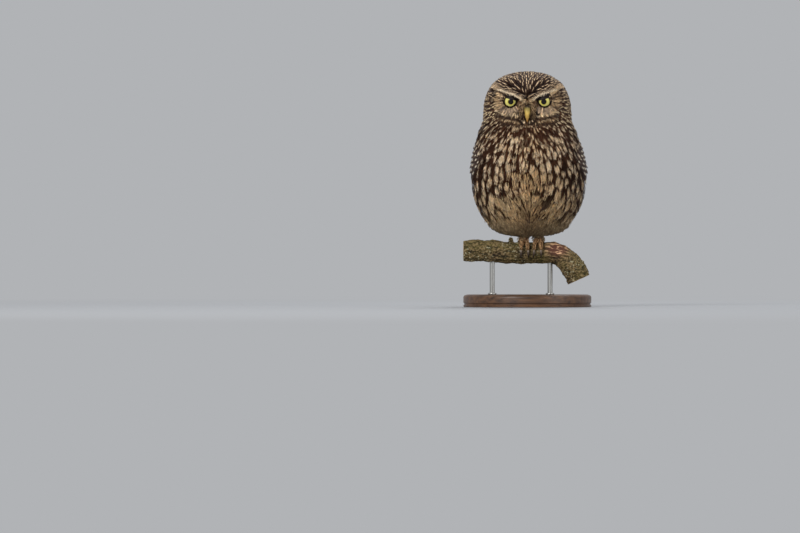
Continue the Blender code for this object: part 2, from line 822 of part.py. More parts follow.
TAIL_ALONG = (60 * MM, 140 * MM)
TAIL_DEPTH = 5.2 * MM
TAIL_ARCH = 0.22 * MM
TAIL_ARCH_WIDTH = 5 * MM
# The tail's root: half width, lower and upper face, and (share of the tail, -1 or 1 at its ends).
TAIL_ROOT_HALF = 13 * MM
TAIL_ROOT_FACES = (-3.8 * MM, 0.5 * MM)
TAIL_ROOT_ROWS = ((0.05, -1), (0.25, 0), (0.42, 1))


def tail_point(across, share, out):
    """A point of the tail: across it, along it from inside the body to the tip, and over it."""
    start, end = TAIL_ALONG
    base = Cloak.START + Cloak.AHEAD * (start + (end - start) * share)
    arch = -TAIL_ARCH * (across / TAIL_ARCH_WIDTH) ** 2
    return base + Vector((across, 0, 0)) + Cloak.UP * (out + arch - TAIL_DEPTH)


def tail_root(name, grow=0.0):
    """The stout root of the tail, which enters the body."""
    half = TAIL_ROOT_HALF + grow
    lengthened = grow / (TAIL_ALONG[1] - TAIL_ALONG[0])
    low, high = TAIL_ROOT_FACES
    grids = []
    for out in (low - grow, high + grow):
        grid = []
        for share, end in TAIL_ROOT_ROWS:
            along = share + end * lengthened
            grid.append([tail_point(half * x, along, out) for x in (-1, -0.5, 0, 0.5, 1)])
        grids.append(grid)
    return closed_slab(name, grids)


TAIL_PAIRS = 5
TAIL_STEP = 0.62 * MM
TAIL_HALF = 5.0 * MM
TAIL_SPREAD = (1.3 * MM, 2.4 * MM)
TAIL_TUCK = 0.22
TAIL_SHAPE = ((0.0, 0.6), (0.5, 0.95), (0.92, 1.0), (1.0, 0.5))


def tail_vane(name, number):
    """One tail feather: number 0 is the middle one on top, and the others fan out below it."""
    end = 1.0 - 0.05 * (number / TAIL_PAIRS) ** 2

    def place(along_share, across, out):
        share = TAIL_TUCK + (end - TAIL_TUCK) * along_share
        apart = TAIL_SPREAD[0] + (TAIL_SPREAD[1] - TAIL_SPREAD[0]) * along_share
        return tail_point(number * apart + across * TAIL_HALF, share, out - TAIL_STEP * abs(number))

    return vane(name, place, TAIL_SHAPE)


def make_tail():
    """The short tail under the wing tips: a stout root and its feathers, the middle ones on top."""
    tail = tail_root("tail")
    numbers = range(-TAIL_PAIRS, TAIL_PAIRS + 1)
    fuse(tail, [tail_vane(f"rectrix_{k}", number) for k, number in enumerate(numbers)])
    return tag(tail, material("feathers_tail", FEATHER_BROWN, 0.85))


LEG_RADIUS = 3.9 * MM
FOOT_TOP = 6.2 * MM


def make_leg(name, side, grow=0.0):
    """A feathered shank from the foot up into the belly."""
    across = FOOT_PLACES[side]
    points = [
        Vector((across, 0.5 * MM, PERCH_TOP + FOOT_TOP + GAP)),
        Vector((across + 0.5 * LEG_LEAN[side], 1.5 * MM, PERCH_TOP + 12 * MM)),
        Vector((across + LEG_LEAN[side], 3.0 * MM, PERCH_TOP + 22 * MM)),
    ]
    radii = [0.86 * LEG_RADIUS, LEG_RADIUS, 1.15 * LEG_RADIUS]
    return tube(name, points, radii, 14, grow, up=Vector((0, 1, 0)))


# The ankle's pad: half its width, depth and height, and how high its middle is.
PAD_SIZE = (4.6 * MM, 3.9 * MM, 2.9 * MM)
PAD_LIFT = 3.2 * MM

TOE_RADIUS = 2.3 * MM
TOE_TURN = math.radians(74)
CLAW_TURN = math.radians(40)
# Each toe: (name, across at its root, across at its tip, 1 forwards or -1 backwards).
TOES = (
    ("inner", -2.6, -4.1, 1),
    ("middle", 2.2, 2.6, 1),
    ("outer", 2.6, 4.6, -1),
    ("hind", -2.2, -2.8, -1),
)


def round_perch(across, turn, distance, forwards):
    """A point round the branch: turn is 0 on top and grows down its front or its back."""
    return Vector(
        (
            across,
            -forwards * distance * math.sin(turn),
            PERCH_AXIS + distance * math.cos(turn),
        )
    )


def toe_across(side, toe, share):
    """Where a toe is across the branch at a share of its length."""
    _, root, tip, _ = toe
    return FOOT_PLACES[side] + SIDE_SIGN[side] * (root + (tip - root) * share) * MM


def make_foot(side):
    """A foot: the ankle's pad and four toes round the branch, two in front and two behind."""
    pad = make_ball(f"foot_{side}", (0, 0, 0), 1.0, 12, 8)
    for vert in pad.data.vertices:
        across, along, up = (size * part for size, part in zip(PAD_SIZE, vert.co))
        vert.co = (FOOT_PLACES[side] + across, along, PERCH_TOP + PAD_LIFT + up)
    toes = []
    for toe in TOES:
        points, radii = [], []
        for share in (0.0, 0.3, 0.6, 0.85, 1.0):
            radius = TOE_RADIUS * (1.0 - 0.12 * share) * (1 - 0.25 * (share == 1.0))
            distance = PERCH_RADIUS + GAP + 0.1 * MM + radius
            turn = TOE_TURN * share
            points.append(round_perch(toe_across(side, toe, share), turn, distance, toe[3]))
            radii.append(radius)
        toes.append(tube(f"toe_{side}_{toe[0]}", points, radii, 7, up=Vector((1, 0, 0))))
    fuse(pad, toes)
    cut(pad, [perch_form("perch_room", GAP)])
    return tag(pad, material("feathers_leg", FEATHER_BUFF, 0.9))


def make_claws(side):
    """The four claws of a foot, each curving on from its toe round the branch."""
    for toe in TOES:
        points, radii = [], []
        toe_end = TOE_TURN + 2.2 * GAP / PERCH_RADIUS
        for share, radius, lift in (
            (0.0, 1.35, 0.7),
            (0.25, 1.3, 1.3),
            (0.5, 1.05, 1.3),
            (0.75, 0.75, 0.8),
            (1.0, 0.3, 0.1),
        ):
            distance = PERCH_RADIUS + GAP + 0.15 * MM + (radius + lift) * MM
            turn = toe_end + CLAW_TURN * share
            across = toe_across(side, toe, 1.0 + 0.35 * share)
            points.append(round_perch(across, turn, distance, toe[3]))
            radii.append(radius * MM)
        claw = tube(f"claw_{side}_{toe[0]}", points, radii, 8, up=Vector((1, 0, 0)))
        tag(claw, material("claw_horn", CLAW_GREY, 0.35))


# The branch's level length, which rises a little and swells and narrows at its far end.
PERCH_STEPS = 12
PERCH_LEVEL_END = 18 * MM
PERCH_RISE = 2.0 * MM
PERCH_SWELLING = 0.5 * MM
PERCH_SWELLINGS = 330.0
# The branch's middle line to the right of the feet, and its radius there, in millimetres.
PERCH_BEND = ((24, 0, 10.6), (32, -2.5, 10.9), (39, -8, 11.3), (45.5, -16, 11.6), (50, -26, 11.9))


def perch_line():
    """The branch's middle line as points and radii: level, with slight swellings, then down."""
    points, radii = [], []
    for k in range(PERCH_STEPS + 1):
        x = PERCH_LEFT + (PERCH_LEVEL_END - PERCH_LEFT) * k / PERCH_STEPS
        away = float(fade(-x, 18 * MM, 40 * MM))
        points.append(Vector((x, 0, PERCH_AXIS + PERCH_RISE * away)))
        radii.append(PERCH_RADIUS + away * PERCH_SWELLING * math.sin(PERCH_SWELLINGS * x))
    for x, z, radius in PERCH_BEND:
        points.append(Vector((x * MM, 0, PERCH_AXIS + z * MM)))
        radii.append(radius * MM)
    return points, radii


def perch_form(name, grow=0.0):
    """The branch, larger by grow where it is used to make room."""
    points, radii = perch_line()
    return tube(name, points, radii, PERCH_SIDES, grow, up=Vector((0, 1, 0)))


def knob(name, x, reach, radius, direction):
    """A worn stub on the branch."""
    root = Vector((x, 0, PERCH_AXIS))
    points = [root + direction * (0.4 * PERCH_RADIUS), root + direction * (reach - radius)]
    points += [root + direction * (reach - 0.3 * radius), root + direction * reach]
    radii = [radius, radius, 0.75 * radius, 0.35 * radius]
    return tube(name, points, radii, 9, up=Vector((0, 1, 0)))


def make_perch():
    """The cut length of branch, with two worn stubs and holes for the rods."""
    perch = perch_form("perch")
    upright = Vector((-0.2, -0.15, 1)).normalized()
    backward = Vector((0.3, 0.9, 0.35)).normalized()
    fuse(
        perch,
        [
            knob("stub_top", -13.5 * MM, 15.5 * MM, 2.9 * MM, upright),
            knob("stub_back", -44 * MM, 17 * MM, 4.2 * MM, backward),
        ],
    )
    cut(perch, [rod_form(f"rod_hole_{k}", x, GAP) for k, x in enumerate(ROD_PLACES)])
    return tag(perch, material("bark", BARK_GREEN, 0.95))


def rod_form(name, x, grow=0.0):
    """A rod from just inside the base up into the branch."""
    low = BASE_THICKNESS - ROD_SINK
    high = PERCH_AXIS - PERCH_RADIUS + ROD_SINK
    points = [Vector((x, 0, low)), Vector((x, 0, 0.5 * (low + high))), Vector((x, 0, high))]
    return tube(name, points, [ROD_RADIUS] * 3, 16, grow, up=Vector((0, 1, 0)))


def make_stand():
    """The display stand's plate and its two rods."""
    mesh = bmesh.new()
    bmesh.ops.create_cone(
        mesh,
        cap_ends=True,
        segments=48,
        radius1=BASE_RADIUS,
        radius2=BASE_RADIUS,
        depth=BASE_THICKNESS,
    )
    bmesh.ops.translate(mesh, verts=mesh.verts, vec=(0, 0, 0.5 * BASE_THICKNESS))
    high = 0.9 * BASE_THICKNESS
    top = [edge for edge in mesh.edges if all(vert.co.z > high for vert in edge.verts)]
    bmesh.ops.bevel(
        mesh, geom=top, offset=BASE_EDGE, segments=2, profile=0.5, affect="EDGES", material=-1
    )
    base = link("stand_base", mesh)
    cut(base, [rod_form(f"base_hole_{k}", x, GAP) for k, x in enumerate(ROD_PLACES)])
    tag(base, material("base_wood", BASE_WOOD, 0.45))
    for k, x in enumerate(ROD_PLACES):
        rod = rod_form(f"stand_rod_{k + 1}", x)
        tag(rod, material("rod_steel", ROD_STEEL, 0.3, 1.0))


def make_owl():
    """The owl itself, node by node."""
    make_head()
    make_neck()
    make_eyes()
    make_bill()
    cloaks = {side: Cloak(side) for side in SIDE_SIGN}
    make_torso(cloaks)
    make_tail()
    for side in SIDE_SIGN:
        make_wing(side, cloaks[side])
        leg = make_leg(f"leg_{side}", side)
        tag(leg, material("feathers_leg", FEATHER_BUFF, 0.9))
        make_foot(side)
        make_claws(side)


def main():
    """Builds the owl, its branch and the stand."""
    clear_scene()
    make_owl()
    make_perch()
    make_stand()


main()
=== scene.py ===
"""The looks of a life-size little owl on its perch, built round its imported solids.

Lengths are in metres, +Z is up, the owl faces -Y, and +X is on the viewer's right.
"""

import logging
import math
from collections.abc import Callable, Sequence
from dataclasses import dataclass, field
from enum import Enum
from functools import cached_property, partial
from itertools import product
from typing import Any

import bmesh
import bpy
import numpy as np
from mathutils import Matrix, Vector, noise
from mathutils.bvhtree import BVHTree
from mathutils.kdtree import KDTree


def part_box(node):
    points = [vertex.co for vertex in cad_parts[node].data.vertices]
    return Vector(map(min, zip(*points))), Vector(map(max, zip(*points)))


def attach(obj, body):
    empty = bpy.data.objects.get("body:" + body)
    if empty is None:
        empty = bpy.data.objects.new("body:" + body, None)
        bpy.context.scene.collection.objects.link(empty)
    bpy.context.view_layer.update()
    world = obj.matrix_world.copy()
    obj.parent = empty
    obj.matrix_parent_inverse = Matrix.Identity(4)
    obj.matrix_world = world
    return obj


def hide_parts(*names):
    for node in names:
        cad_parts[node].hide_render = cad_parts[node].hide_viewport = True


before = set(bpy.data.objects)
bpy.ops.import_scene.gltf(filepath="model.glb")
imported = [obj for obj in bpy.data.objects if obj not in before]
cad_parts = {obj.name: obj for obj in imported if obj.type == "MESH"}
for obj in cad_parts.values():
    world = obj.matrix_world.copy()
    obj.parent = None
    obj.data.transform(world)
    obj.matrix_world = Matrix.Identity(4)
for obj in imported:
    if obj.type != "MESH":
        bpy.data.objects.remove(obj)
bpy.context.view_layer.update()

LOG = logging.getLogger("owl")
MM = 0.001
WELD = 1e-5
BODY_NAME = "root"

# The photograph is 800 pixels wide, and a pixel at the owl is 0.97 mm.
PICTURE_SIZE = (800, 533)
PIXEL = 0.97 * MM
OWL_PIXEL = 527.3
PERCH_TOP_PIXEL = 242.0
CAMERA_DISTANCE = 4.0
SENSOR = 36.0

PERCH_TOP = 63 * MM
PERCH_RADIUS = 10.5 * MM
LEAN = 1.5 * MM
GAZE_OUTWARD = math.radians(1)
GAZE_DOWN = math.radians(8)

Array = np.ndarray
Rng = np.random.Generator
Tree = bpy.types.NodeTree
Adder = Callable[..., Any]


class Side(Enum):
    """The owl's two sides, by the sign of X on the viewer's right and left."""

    LEFT = "left"
    RIGHT = "right"

    @property
    def sign(self) -> int:
        """1 on the viewer's right and -1 on the left."""
        return 1 if self is Side.LEFT else -1


def linear(colour: str) -> tuple[float, float, float, float]:
    """Turns an sRGB hex colour into the linear colour that shaders take.

    Args:
        colour: the colour as #rrggbb.

    Returns:
        Red, green, blue and an alpha of 1.
    """
    shares = [int(colour[k : k + 2], 16) / 255 for k in (1, 3, 5)]
    red, green, blue = (s / 12.92 if s <= 0.04045 else ((s + 0.055) / 1.055) ** 2.4 for s in shares)
    return red, green, blue, 1.0


def rgb(colour: str) -> Array:
    """A hex colour's linear red, green and blue."""
    return np.array(linear(colour)[:3])


def plug(tree: Tree, socket: bpy.types.NodeSocket, value: Any) -> None:
    """Links an input to an output, or gives it a value."""
    if isinstance(value, bpy.types.NodeSocket):
        tree.links.new(value, socket)
    else:
        socket.default_value = value


def add_node(tree: Tree, kind: str, *values: Any, output: int | str = 0, **settings: Any) -> Any:
    """Adds a shader node.

    Args:
        tree: the material's node tree.
        kind: the node's type without the words ShaderNode, and after a dot its operation.
        values: what its first inputs get, or one dict of inputs by name or number. An input
            gets a value or another node's output.
        output: which of its outputs is wanted.
        settings: values of the node's own properties.

    Returns:
        The output.
    """
    kind, _, operation = kind.partition(".")
    made = tree.nodes.new("ShaderNode" + kind)
    if operation:
        made.operation = operation
    for name, value in settings.items():
        setattr(made, name, value)
    inputs = values[0] if values and isinstance(values[0], dict) else dict(enumerate(values))
    for name, value in inputs.items():
        plug(tree, made.inputs[name], value)
    return made.outputs[output]


def fade(value: Array | float, start: float, end: float) -> Array | float:
    """A smooth step from 0 at start to 1 at end."""
    share = np.clip((np.asarray(value, float) - start) / (end - start), 0.0, 1.0)
    return share * share * (3 - 2 * share)


def unit(vectors: Array) -> Array:
    """The vectors at length 1."""
    return vectors / np.maximum(np.linalg.norm(vectors, axis=-1, keepdims=True), 1e-12)


def on_tangent(vectors: Array, normals: Array) -> Array:
    """The vectors laid flat on the surface with these normals, at length 1."""
    return unit(vectors - (vectors * normals).sum(-1, keepdims=True) * normals)


def linked(name: str, mesh: bmesh.types.BMesh) -> bpy.types.Object:
    """Makes an object of a bmesh, and frees the bmesh.

    Args:
        name: the object's name.
        mesh: what it holds.

    Returns:
        The object, linked to the scene.
    """
    data = bpy.data.meshes.new(name)
    mesh.to_mesh(data)
    mesh.free()
    made = bpy.data.objects.new(name, data)
    bpy.context.scene.collection.objects.link(made)
    return made


def applied(obj: bpy.types.Object) -> bpy.types.Object:
    """Makes what the modifiers give the object's own mesh."""
    graph = bpy.context.evaluated_depsgraph_get()
    data = bpy.data.meshes.new_from_object(obj.evaluated_get(graph))
    obj.modifiers.clear()
    obj.data = data
    return obj


def remeshed(obj: bpy.types.Object, voxel: float, rounds: int) -> bpy.types.Object:
    """Makes a mesh one closed form of even, smooth faces.

    Args:
        obj: the object.
        voxel: the size of the new faces.
        rounds: how often they are smoothed.

    Returns:
        The same object.
    """
    remesh = obj.modifiers.new("one_form", "REMESH")
    remesh.mode = "VOXEL"
    remesh.voxel_size = voxel
    remesh.use_smooth_shade = True
    obj.modifiers.new("soften", "SMOOTH").iterations = rounds
    return applied(obj)


def welded_copy(node: str) -> bmesh.types.BMesh:
    """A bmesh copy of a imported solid, its loose triangles joined."""
    mesh = bmesh.new()
    mesh.from_mesh(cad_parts[node].data)
    bmesh.ops.remove_doubles(mesh, verts=mesh.verts, dist=WELD)
    mesh.normal_update()
    return mesh


def write_points(data: bpy.types.Mesh, name: str, values: Array) -> None:
    """Writes an attribute of a mesh's points.

    Args:
        data: the mesh.
        name: the attribute's name.
        values: a number or a row of three for each point.
    """
    kind, part = ("FLOAT", "value") if values.ndim == 1 else ("FLOAT_VECTOR", "vector")
    attribute = data.attributes.new(name, kind, "POINT")
    attribute.data.foreach_set(part, values.astype(np.float32).ravel())


def dress(
    obj: bpy.types.Object, finish: "Finish", nodes: Sequence[str] = (), slot: str = ""
) -> None:
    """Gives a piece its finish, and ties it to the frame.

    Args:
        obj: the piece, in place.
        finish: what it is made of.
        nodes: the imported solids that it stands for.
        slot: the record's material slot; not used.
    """
    obj.data.materials.clear()
    obj.data.materials.append(finish.material())
    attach(obj, BODY_NAME)
    if nodes:
        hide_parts(*nodes)
    LOG.info("%s: %d faces", obj.name, len(obj.data.polygons))


@dataclass(frozen=True)
class Finish:
    """What a surface is made of. Each kind wires its own nodes into one Principled shader."""

    name: str

    def material(self) -> bpy.types.Material:
        """The finish's material, made the first time that it is asked for."""
        known = bpy.data.materials.get(self.name)
        if known:
            return known
        made = bpy.data.materials.new(self.name)
        made.use_nodes = True
        tree = made.node_tree
        for name, value in self.wire(partial(add_node, tree)).items():
            plug(tree, tree.nodes["Principled BSDF"].inputs[name], value)
        return made

    def wire(self, add: Adder) -> dict[str, Any]:
        """Adds the finish's nodes.

        Args:
            add: adds a node to the new material, as add_node does.

        Returns:
            What the inputs of its Principled shader get, by name.
        """
        raise NotImplementedError


def three_of(add: Adder, name: str) -> Sequence[bpy.types.NodeSocket]:
    """The three numbers of a vertex attribute, in a material."""
    held = add("Attribute", output="Vector", attribute_name=name)
    return add("SeparateXYZ", held).node.outputs


def with_stops(colours: Any, stops: Sequence[tuple[float, str]]) -> Any:
    """Gives a colour ramp its stops.

    Args:
        colours: the ramp's output.
        stops: the places of its colours, from 0 to 1, and the colours.

    Returns:
        The same output.
    """
    elements = colours.node.color_ramp.elements
    while len(elements) < len(stops):
        elements.new(0.5)
    for element, (where, colour) in zip(elements, stops):
        element.position = where
        element.color = linear(colour)
    return colours


@dataclass(frozen=True)
class Feather(Finish):
    """Feather vane: keratin barbs side by side, dull brown with pale marks of its own.

    Attributes on each feather give its colours and its marks' places and sizes, so that the
    markings follow the feathers. Body feathers fray and carry one mark. Flight feathers are
    zipped flat, shine a little and repeat their mark along the vane.
    """

    barb_spacing: float = 0.4
    barb_rake: float = 1.2
    fray: float = 0.5
    rough: float = 0.85
    shine: float = 0.15
    repeats: bool = False
    worn_edge: float = 0.3
    shaft: float = 0.07
    waves: float = 0.55

    def wire(self, add: Adder) -> dict[str, Any]:
        """Mixes the pale mark over the ground colour and rules the barbs."""
        along, across, seed = three_of(add, "feather")
        length, half_width, count = three_of(add, "feather_size")
        centre_along, centre_across, strength = three_of(add, "spot")
        reach_along, reach_across, soft = three_of(add, "spot_reach")
        off_shaft = add("Math.ABSOLUTE", across)
        side_mm = add("Math.MULTIPLY", across, half_width)
        rake = add("Math.MULTIPLY", add("Math.ABSOLUTE", side_mm), self.barb_rake)
        barb_mm = add("Math.SUBTRACT", add("Math.MULTIPLY", along, length), rake)
        own = add("Math.MULTIPLY", seed, 90)
        barb = self.streaks(add, (barb_mm, side_mm, own), 1 / self.barb_spacing, 0.7)
        wave = self.streaks(add, (barb_mm, side_mm, own), self.waves, 0.9)
        frayed = add("Math.MULTIPLY_ADD", barb, self.fray, along)
        frayed = add("Math.MULTIPLY_ADD", wave, self.fray, frayed)
        if self.repeats:
            turns = add("Math.MULTIPLY_ADD", frayed, count, centre_along)
            from_centre = add("Math.SUBTRACT", add("Math.FRACT", turns), 0.5)
        else:
            from_centre = add("Math.SUBTRACT", frayed, centre_along)
        from_side = add("Math.SUBTRACT", off_shaft, centre_across)
        from_side = add("Math.MULTIPLY_ADD", wave, 0.7 * self.fray, from_side)
        along_share = add("Math.DIVIDE", from_centre, reach_along)
        side_share = add("Math.DIVIDE", from_side, reach_across)
        reached = add("CombineXYZ", along_share, side_share)
        distance = add("VectorMath.LENGTH", reached, output="Value")
        mark = add("Math.DIVIDE", add("Math.SUBTRACT", 1.0, distance), soft)
        mark = add("Math.MULTIPLY", add("Math.ADD", mark, 0.5, use_clamp=True), strength)
        ground = add("Attribute", attribute_name="ground")
        pale = add("Attribute", attribute_name="pale")
        marked = add("Mix", {0: mark, 6: ground, 7: pale}, output=2, data_type="RGBA")
        shaft = add("Math.SUBTRACT", self.shaft, off_shaft)
        shaft = add("Math.MULTIPLY", add("Math.DIVIDE", shaft, self.shaft, use_clamp=True), -0.3)
        # Barbs part more clearly on the dark ground than on the downier pale marks.
        parted = add("Math.MULTIPLY", barb, add("Math.MULTIPLY_ADD", mark, -1.3, 2.4))
        edge = add("Math.MULTIPLY", off_shaft, off_shaft)
        edge = add("Math.MULTIPLY", edge, self.worn_edge)
        light = add("Math.ADD", add("Math.ADD", parted, edge), add("Math.ADD", shaft, 1.0))
        return {
            "Base Color": add("VectorMath.SCALE", {0: marked, "Scale": light}),
            "Normal": add("Bump", {"Height": barb, "Strength": 0.5, "Distance": 0.1 * MM}),
            "Roughness": self.rough,
            "Specular IOR Level": self.shine,
            "Sheen Weight": 0.08,
        }

    @staticmethod
    def streaks(add: Adder, place: Sequence[Any], often: float, across: float) -> Any:
        """Noise drawn out along the barbs, from about -0.5 to 0.5.

        Args:
            add: adds a node to the material.
            place: which barb a place is on, in mm along the shaft, how far it is from the
                shaft, in mm, and a number of the feather's own.
            often: how often the noise changes from barb to barb, to the mm.
            across: how often it changes along a barb, to the mm.

        Returns:
            The noise.
        """
        barb, side, own = place
        barb, side = add("Math.MULTIPLY", barb, often), add("Math.MULTIPLY", side, across)
        where = add("CombineXYZ", barb, side, own)
        drawn = add("TexNoise", {"Vector": where, "Scale": 1.0, "Detail": 1.0})
        return add("Math.SUBTRACT", drawn, 0.5)


BODY_FEATHER = Feather("body_feather_keratin")
FACE_FEATHER = Feather("face_feather_keratin", barb_spacing=0.3, fray=0.2)
FLIGHT_FEATHER = Feather("flight_feather_keratin", 0.5, 0.9, 0.05, 0.68, 0.22, True)


@dataclass(frozen=True)
class DownySkin(Finish):
    """Skin under the coat: matt down in the coat's own colours; on the body they are darkened as
    painted shade between the feathers.
    """

    name: str = "downy_skin"
    rough: float = 0.95
    down: float = 1.5

    def wire(self, add: Adder) -> dict[str, Any]:
        """Streaks the coat's colours with short down, 1.5 mm long."""
        ground = add("Attribute", attribute_name="ground")
        place = add("TexCoord", output="Object")
        stretched = add("Mapping", {"Vector": place, "Scale": (1.0, 1.0, 0.35)})
        down = add("TexNoise", {"Vector": stretched, "Scale": 1 / (self.down * MM), "Detail": 3.0})
        light = add("Math.MULTIPLY_ADD", down, 1.0, 0.45)
        return {
            "Base Color": add("VectorMath.SCALE", {0: ground, "Scale": light}),
            "Normal": add("Bump", {"Height": down, "Strength": 0.7, "Distance": 0.4 * MM}),
            "Roughness": self.rough,
            "Specular IOR Level": 0.1,
        }


@dataclass(frozen=True)
class GlassEye(Finish):
    """Glass eye: painted iris under clear polished glass, lemon yellow with a black pupil.

    The attribute holds the distance from the eye's axis in mm and the angle round it.
    """

    name: str = "painted_glass_eye"
    pupil: float = 2.45
    iris: float = 6.4
    yellow: str = "#d6c64f"
    lit: str = "#e6dc8a"
    rim: str = "#7d6a1a"
    dark: str = "#120c09"
    fibres: float = 9.0

    def wire(self, add: Adder) -> dict[str, Any]:
        """Draws pupil, iris fibres and dark rim by the distance from the axis."""
        from_axis, around, _ = three_of(add, "iris_place")
        around = add("Math.MULTIPLY", around, self.fibres)
        where = add("CombineXYZ", around, add("Math.MULTIPLY", from_axis, 0.35))
        fibre = add("TexNoise", {"Vector": where, "Scale": 2.2, "Detail": 3.0})
        share = add("MapRange", from_axis, self.pupil, self.iris, clamp=False)
        ragged = add("Math.MULTIPLY", add("Math.SUBTRACT", fibre, 0.5), 0.12)
        stops = (
            (0.0, self.dark), (0.05, self.yellow), (0.45, self.lit), (0.86, self.yellow),
            (0.97, self.rim), (1.0, self.dark),
        )
        painted = with_stops(add("ValToRGB", add("Math.ADD", share, ragged)), stops)
        light = add("Math.MULTIPLY_ADD", fibre, 0.5, 0.75)
        return {
            "Base Color": add("VectorMath.SCALE", {0: painted, "Scale": light}),
            "Roughness": 0.4,
            "Specular IOR Level": 0.0,
            "Coat Weight": 1.0,
            "Coat IOR": 1.36,
            "Coat Roughness": 0.02,
        }


@dataclass(frozen=True)
class Horn(Finish):
    """Bill or claw: grown horn, smooth and waxy, its colour running from root to tip.

    The attribute holds the share of the way from root to tip. Growth lines lie 0.6 mm apart.
    """

    stops: tuple[tuple[float, str], ...] = ()
    rough: float = 0.42
    line_spacing: float = 0.6

    def wire(self, add: Adder) -> dict[str, Any]:
        """Runs the colours along the horn with fine growth lines."""
        share = add("Attribute", output="Fac", attribute_name="to_tip")
        place = add("TexCoord", output="Object")
        cloud = add("TexNoise", {"Vector": place, "Scale": 1 / (2.5 * MM), "Detail": 3.0})
        shifted = add("Math.MULTIPLY_ADD", add("Math.SUBTRACT", cloud, 0.5), 0.22, share)
        grown = with_stops(add("ValToRGB", shifted), self.stops)
        stretched = add("Mapping", {"Vector": place, "Scale": (0.3, 0.3, 1.0)})
        size = self.line_spacing * MM
        lines = add("TexNoise", {"Vector": stretched, "Scale": 1 / size, "Detail": 2.0})
        light = add("Math.MULTIPLY_ADD", lines, 0.5, 0.75)
        return {
            "Base Color": add("VectorMath.SCALE", {0: grown, "Scale": light}),
            "Normal": add("Bump", {"Height": lines, "Strength": 0.35, "Distance": 0.1 * MM}),
            "Roughness": add("Math.MULTIPLY_ADD", cloud, 0.3, self.rough - 0.15),
        }


@dataclass(frozen=True)
class BareSkin(Finish):
    """Bare skin of the eyelids and the cere: thin, finely pebbled and nearly black."""

    name: str = "bare_lid_skin"
    colour: str = "#120b08"
    worn: str = "#261914"
    pebble: float = 0.45

    def wire(self, add: Adder) -> dict[str, Any]:
        """Pebbles the skin."""
        place = add("TexCoord", output="Object")
        pebbles = add("TexVoronoi", {"Vector": place, "Scale": 1 / (self.pebble * MM)})
        tones = {0: pebbles, 6: linear(self.worn), 7: linear(self.colour)}
        relief = {"Height": pebbles, "Strength": 0.5, "Distance": 0.1 * MM}
        return {
            "Base Color": add("Mix", tones, output=2, data_type="RGBA"),
            "Normal": add("Bump", relief, invert=True),
            "Roughness": 0.6,
            "Specular IOR Level": 0.25,
        }


@dataclass(frozen=True)
class Bark(Finish):
    """Weathered twig bark: cracked brown cork under olive algae, with grey-green lichen crusts.

    The attributes say where lichen, algae, bare rubbed wood and the sawn ends are, and how deep
    the bark's hollows are, which are painted dark as shade.
    """

    name: str = "weathered_bark"
    cork: str = "#8a7452"
    dark_cork: str = "#43351f"
    # Partly the dark inner bark of the cracks, partly painted shade in the bark's hollows.
    crack_and_hollow_shade: str = "#1f1812"
    algae: str = "#6c6434"
    lichen: str = "#958d70"
    rubbed: str = "#5f3d31"
    scratch: str = "#dcae86"
    sawn: str = "#b79a70"
    sawn_ring: str = "#8a6c48"
    crack_spacing: float = 2.2
    ring_spacing: float = 0.9

    def wire(self, add: Adder) -> dict[str, Any]:
        """Lays cork, algae, lichen, rubbed wood and sawn ends over one another."""
        place = add("TexCoord", output="Object")
        lichen, algae, rubbed = three_of(add, "growth")
        is_sawn, ring_mm, hollow = three_of(add, "sawn")
        lengthways = add("Mapping", {"Vector": place, "Scale": (0.35, 1.0, 1.0)})
        grain, fine, mottle = (
            add("TexNoise", {"Vector": where, "Scale": 1 / (size * MM), "Detail": detail})
            for where, size, detail in (
                (lengthways, self.crack_spacing, 7.0), (place, 0.8, 4.0), (place, 1.7, 3.0),
            )
        )
        whole = add("Math.SUBTRACT", 1.0, add("MapRange", grain, 0.36, 0.5))
        # The cracks' dark: partly the cracks' own dark inner bark, partly painted shade where the
        # bark sinks deepest.
        crack_and_hollow_shade = add("Math.MINIMUM", add("Math.ADD", whole, hollow), 1.0)
        film = add("Math.MULTIPLY", algae, add("MapRange", fine, 0.42, 0.6))
        crust = add("Math.MULTIPLY", lichen, add("Math.MULTIPLY_ADD", fine, 3.0, -0.8))
        ring = add("Math.MULTIPLY", ring_mm, 2 * math.pi / self.ring_spacing)
        ring = add("Math.MULTIPLY_ADD", add("Math.SINE", ring), 0.5, 0.5)
        mixed = {"output": 2, "data_type": "RGBA"}
        colour = linear(self.dark_cork)
        for share, upper in (
            (add("MapRange", mottle, 0.44, 0.58), self.cork),
            (crack_and_hollow_shade, self.crack_and_hollow_shade),
            (add("Math.MULTIPLY", film, 0.65), self.algae),
            (add("MapRange", crust, 0.25, 0.6), self.lichen),
        ):
            colour = add("Mix", {0: share, 6: colour, 7: linear(upper)}, **mixed)
        light = add("Math.MULTIPLY_ADD", fine, 1.4, 0.35)
        colour = add("VectorMath.SCALE", {0: colour, "Scale": light})
        scratched = add("MapRange", grain, 0.52, 0.6)
        tones = {0: scratched, 6: linear(self.rubbed), 7: linear(self.scratch)}
        worn = add("Mix", tones, **mixed)
        ringed = add("Math.MULTIPLY", ring, fine)
        tones = {0: ringed, 6: linear(self.sawn), 7: linear(self.sawn_ring)}
        face = add("Mix", tones, **mixed)
        for share, upper in ((rubbed, worn), (is_sawn, face)):
            colour = add("Mix", {0: share, 6: colour, 7: upper}, **mixed)
        height = add("Math.ADD", grain, add("Math.MULTIPLY", fine, 0.6))
        return {
            "Base Color": colour,
            "Normal": add("Bump", {"Height": height, "Strength": 0.9, "Distance": 0.6 * MM}),
            "Roughness": 0.9,
            "Specular IOR Level": 0.25,
        }


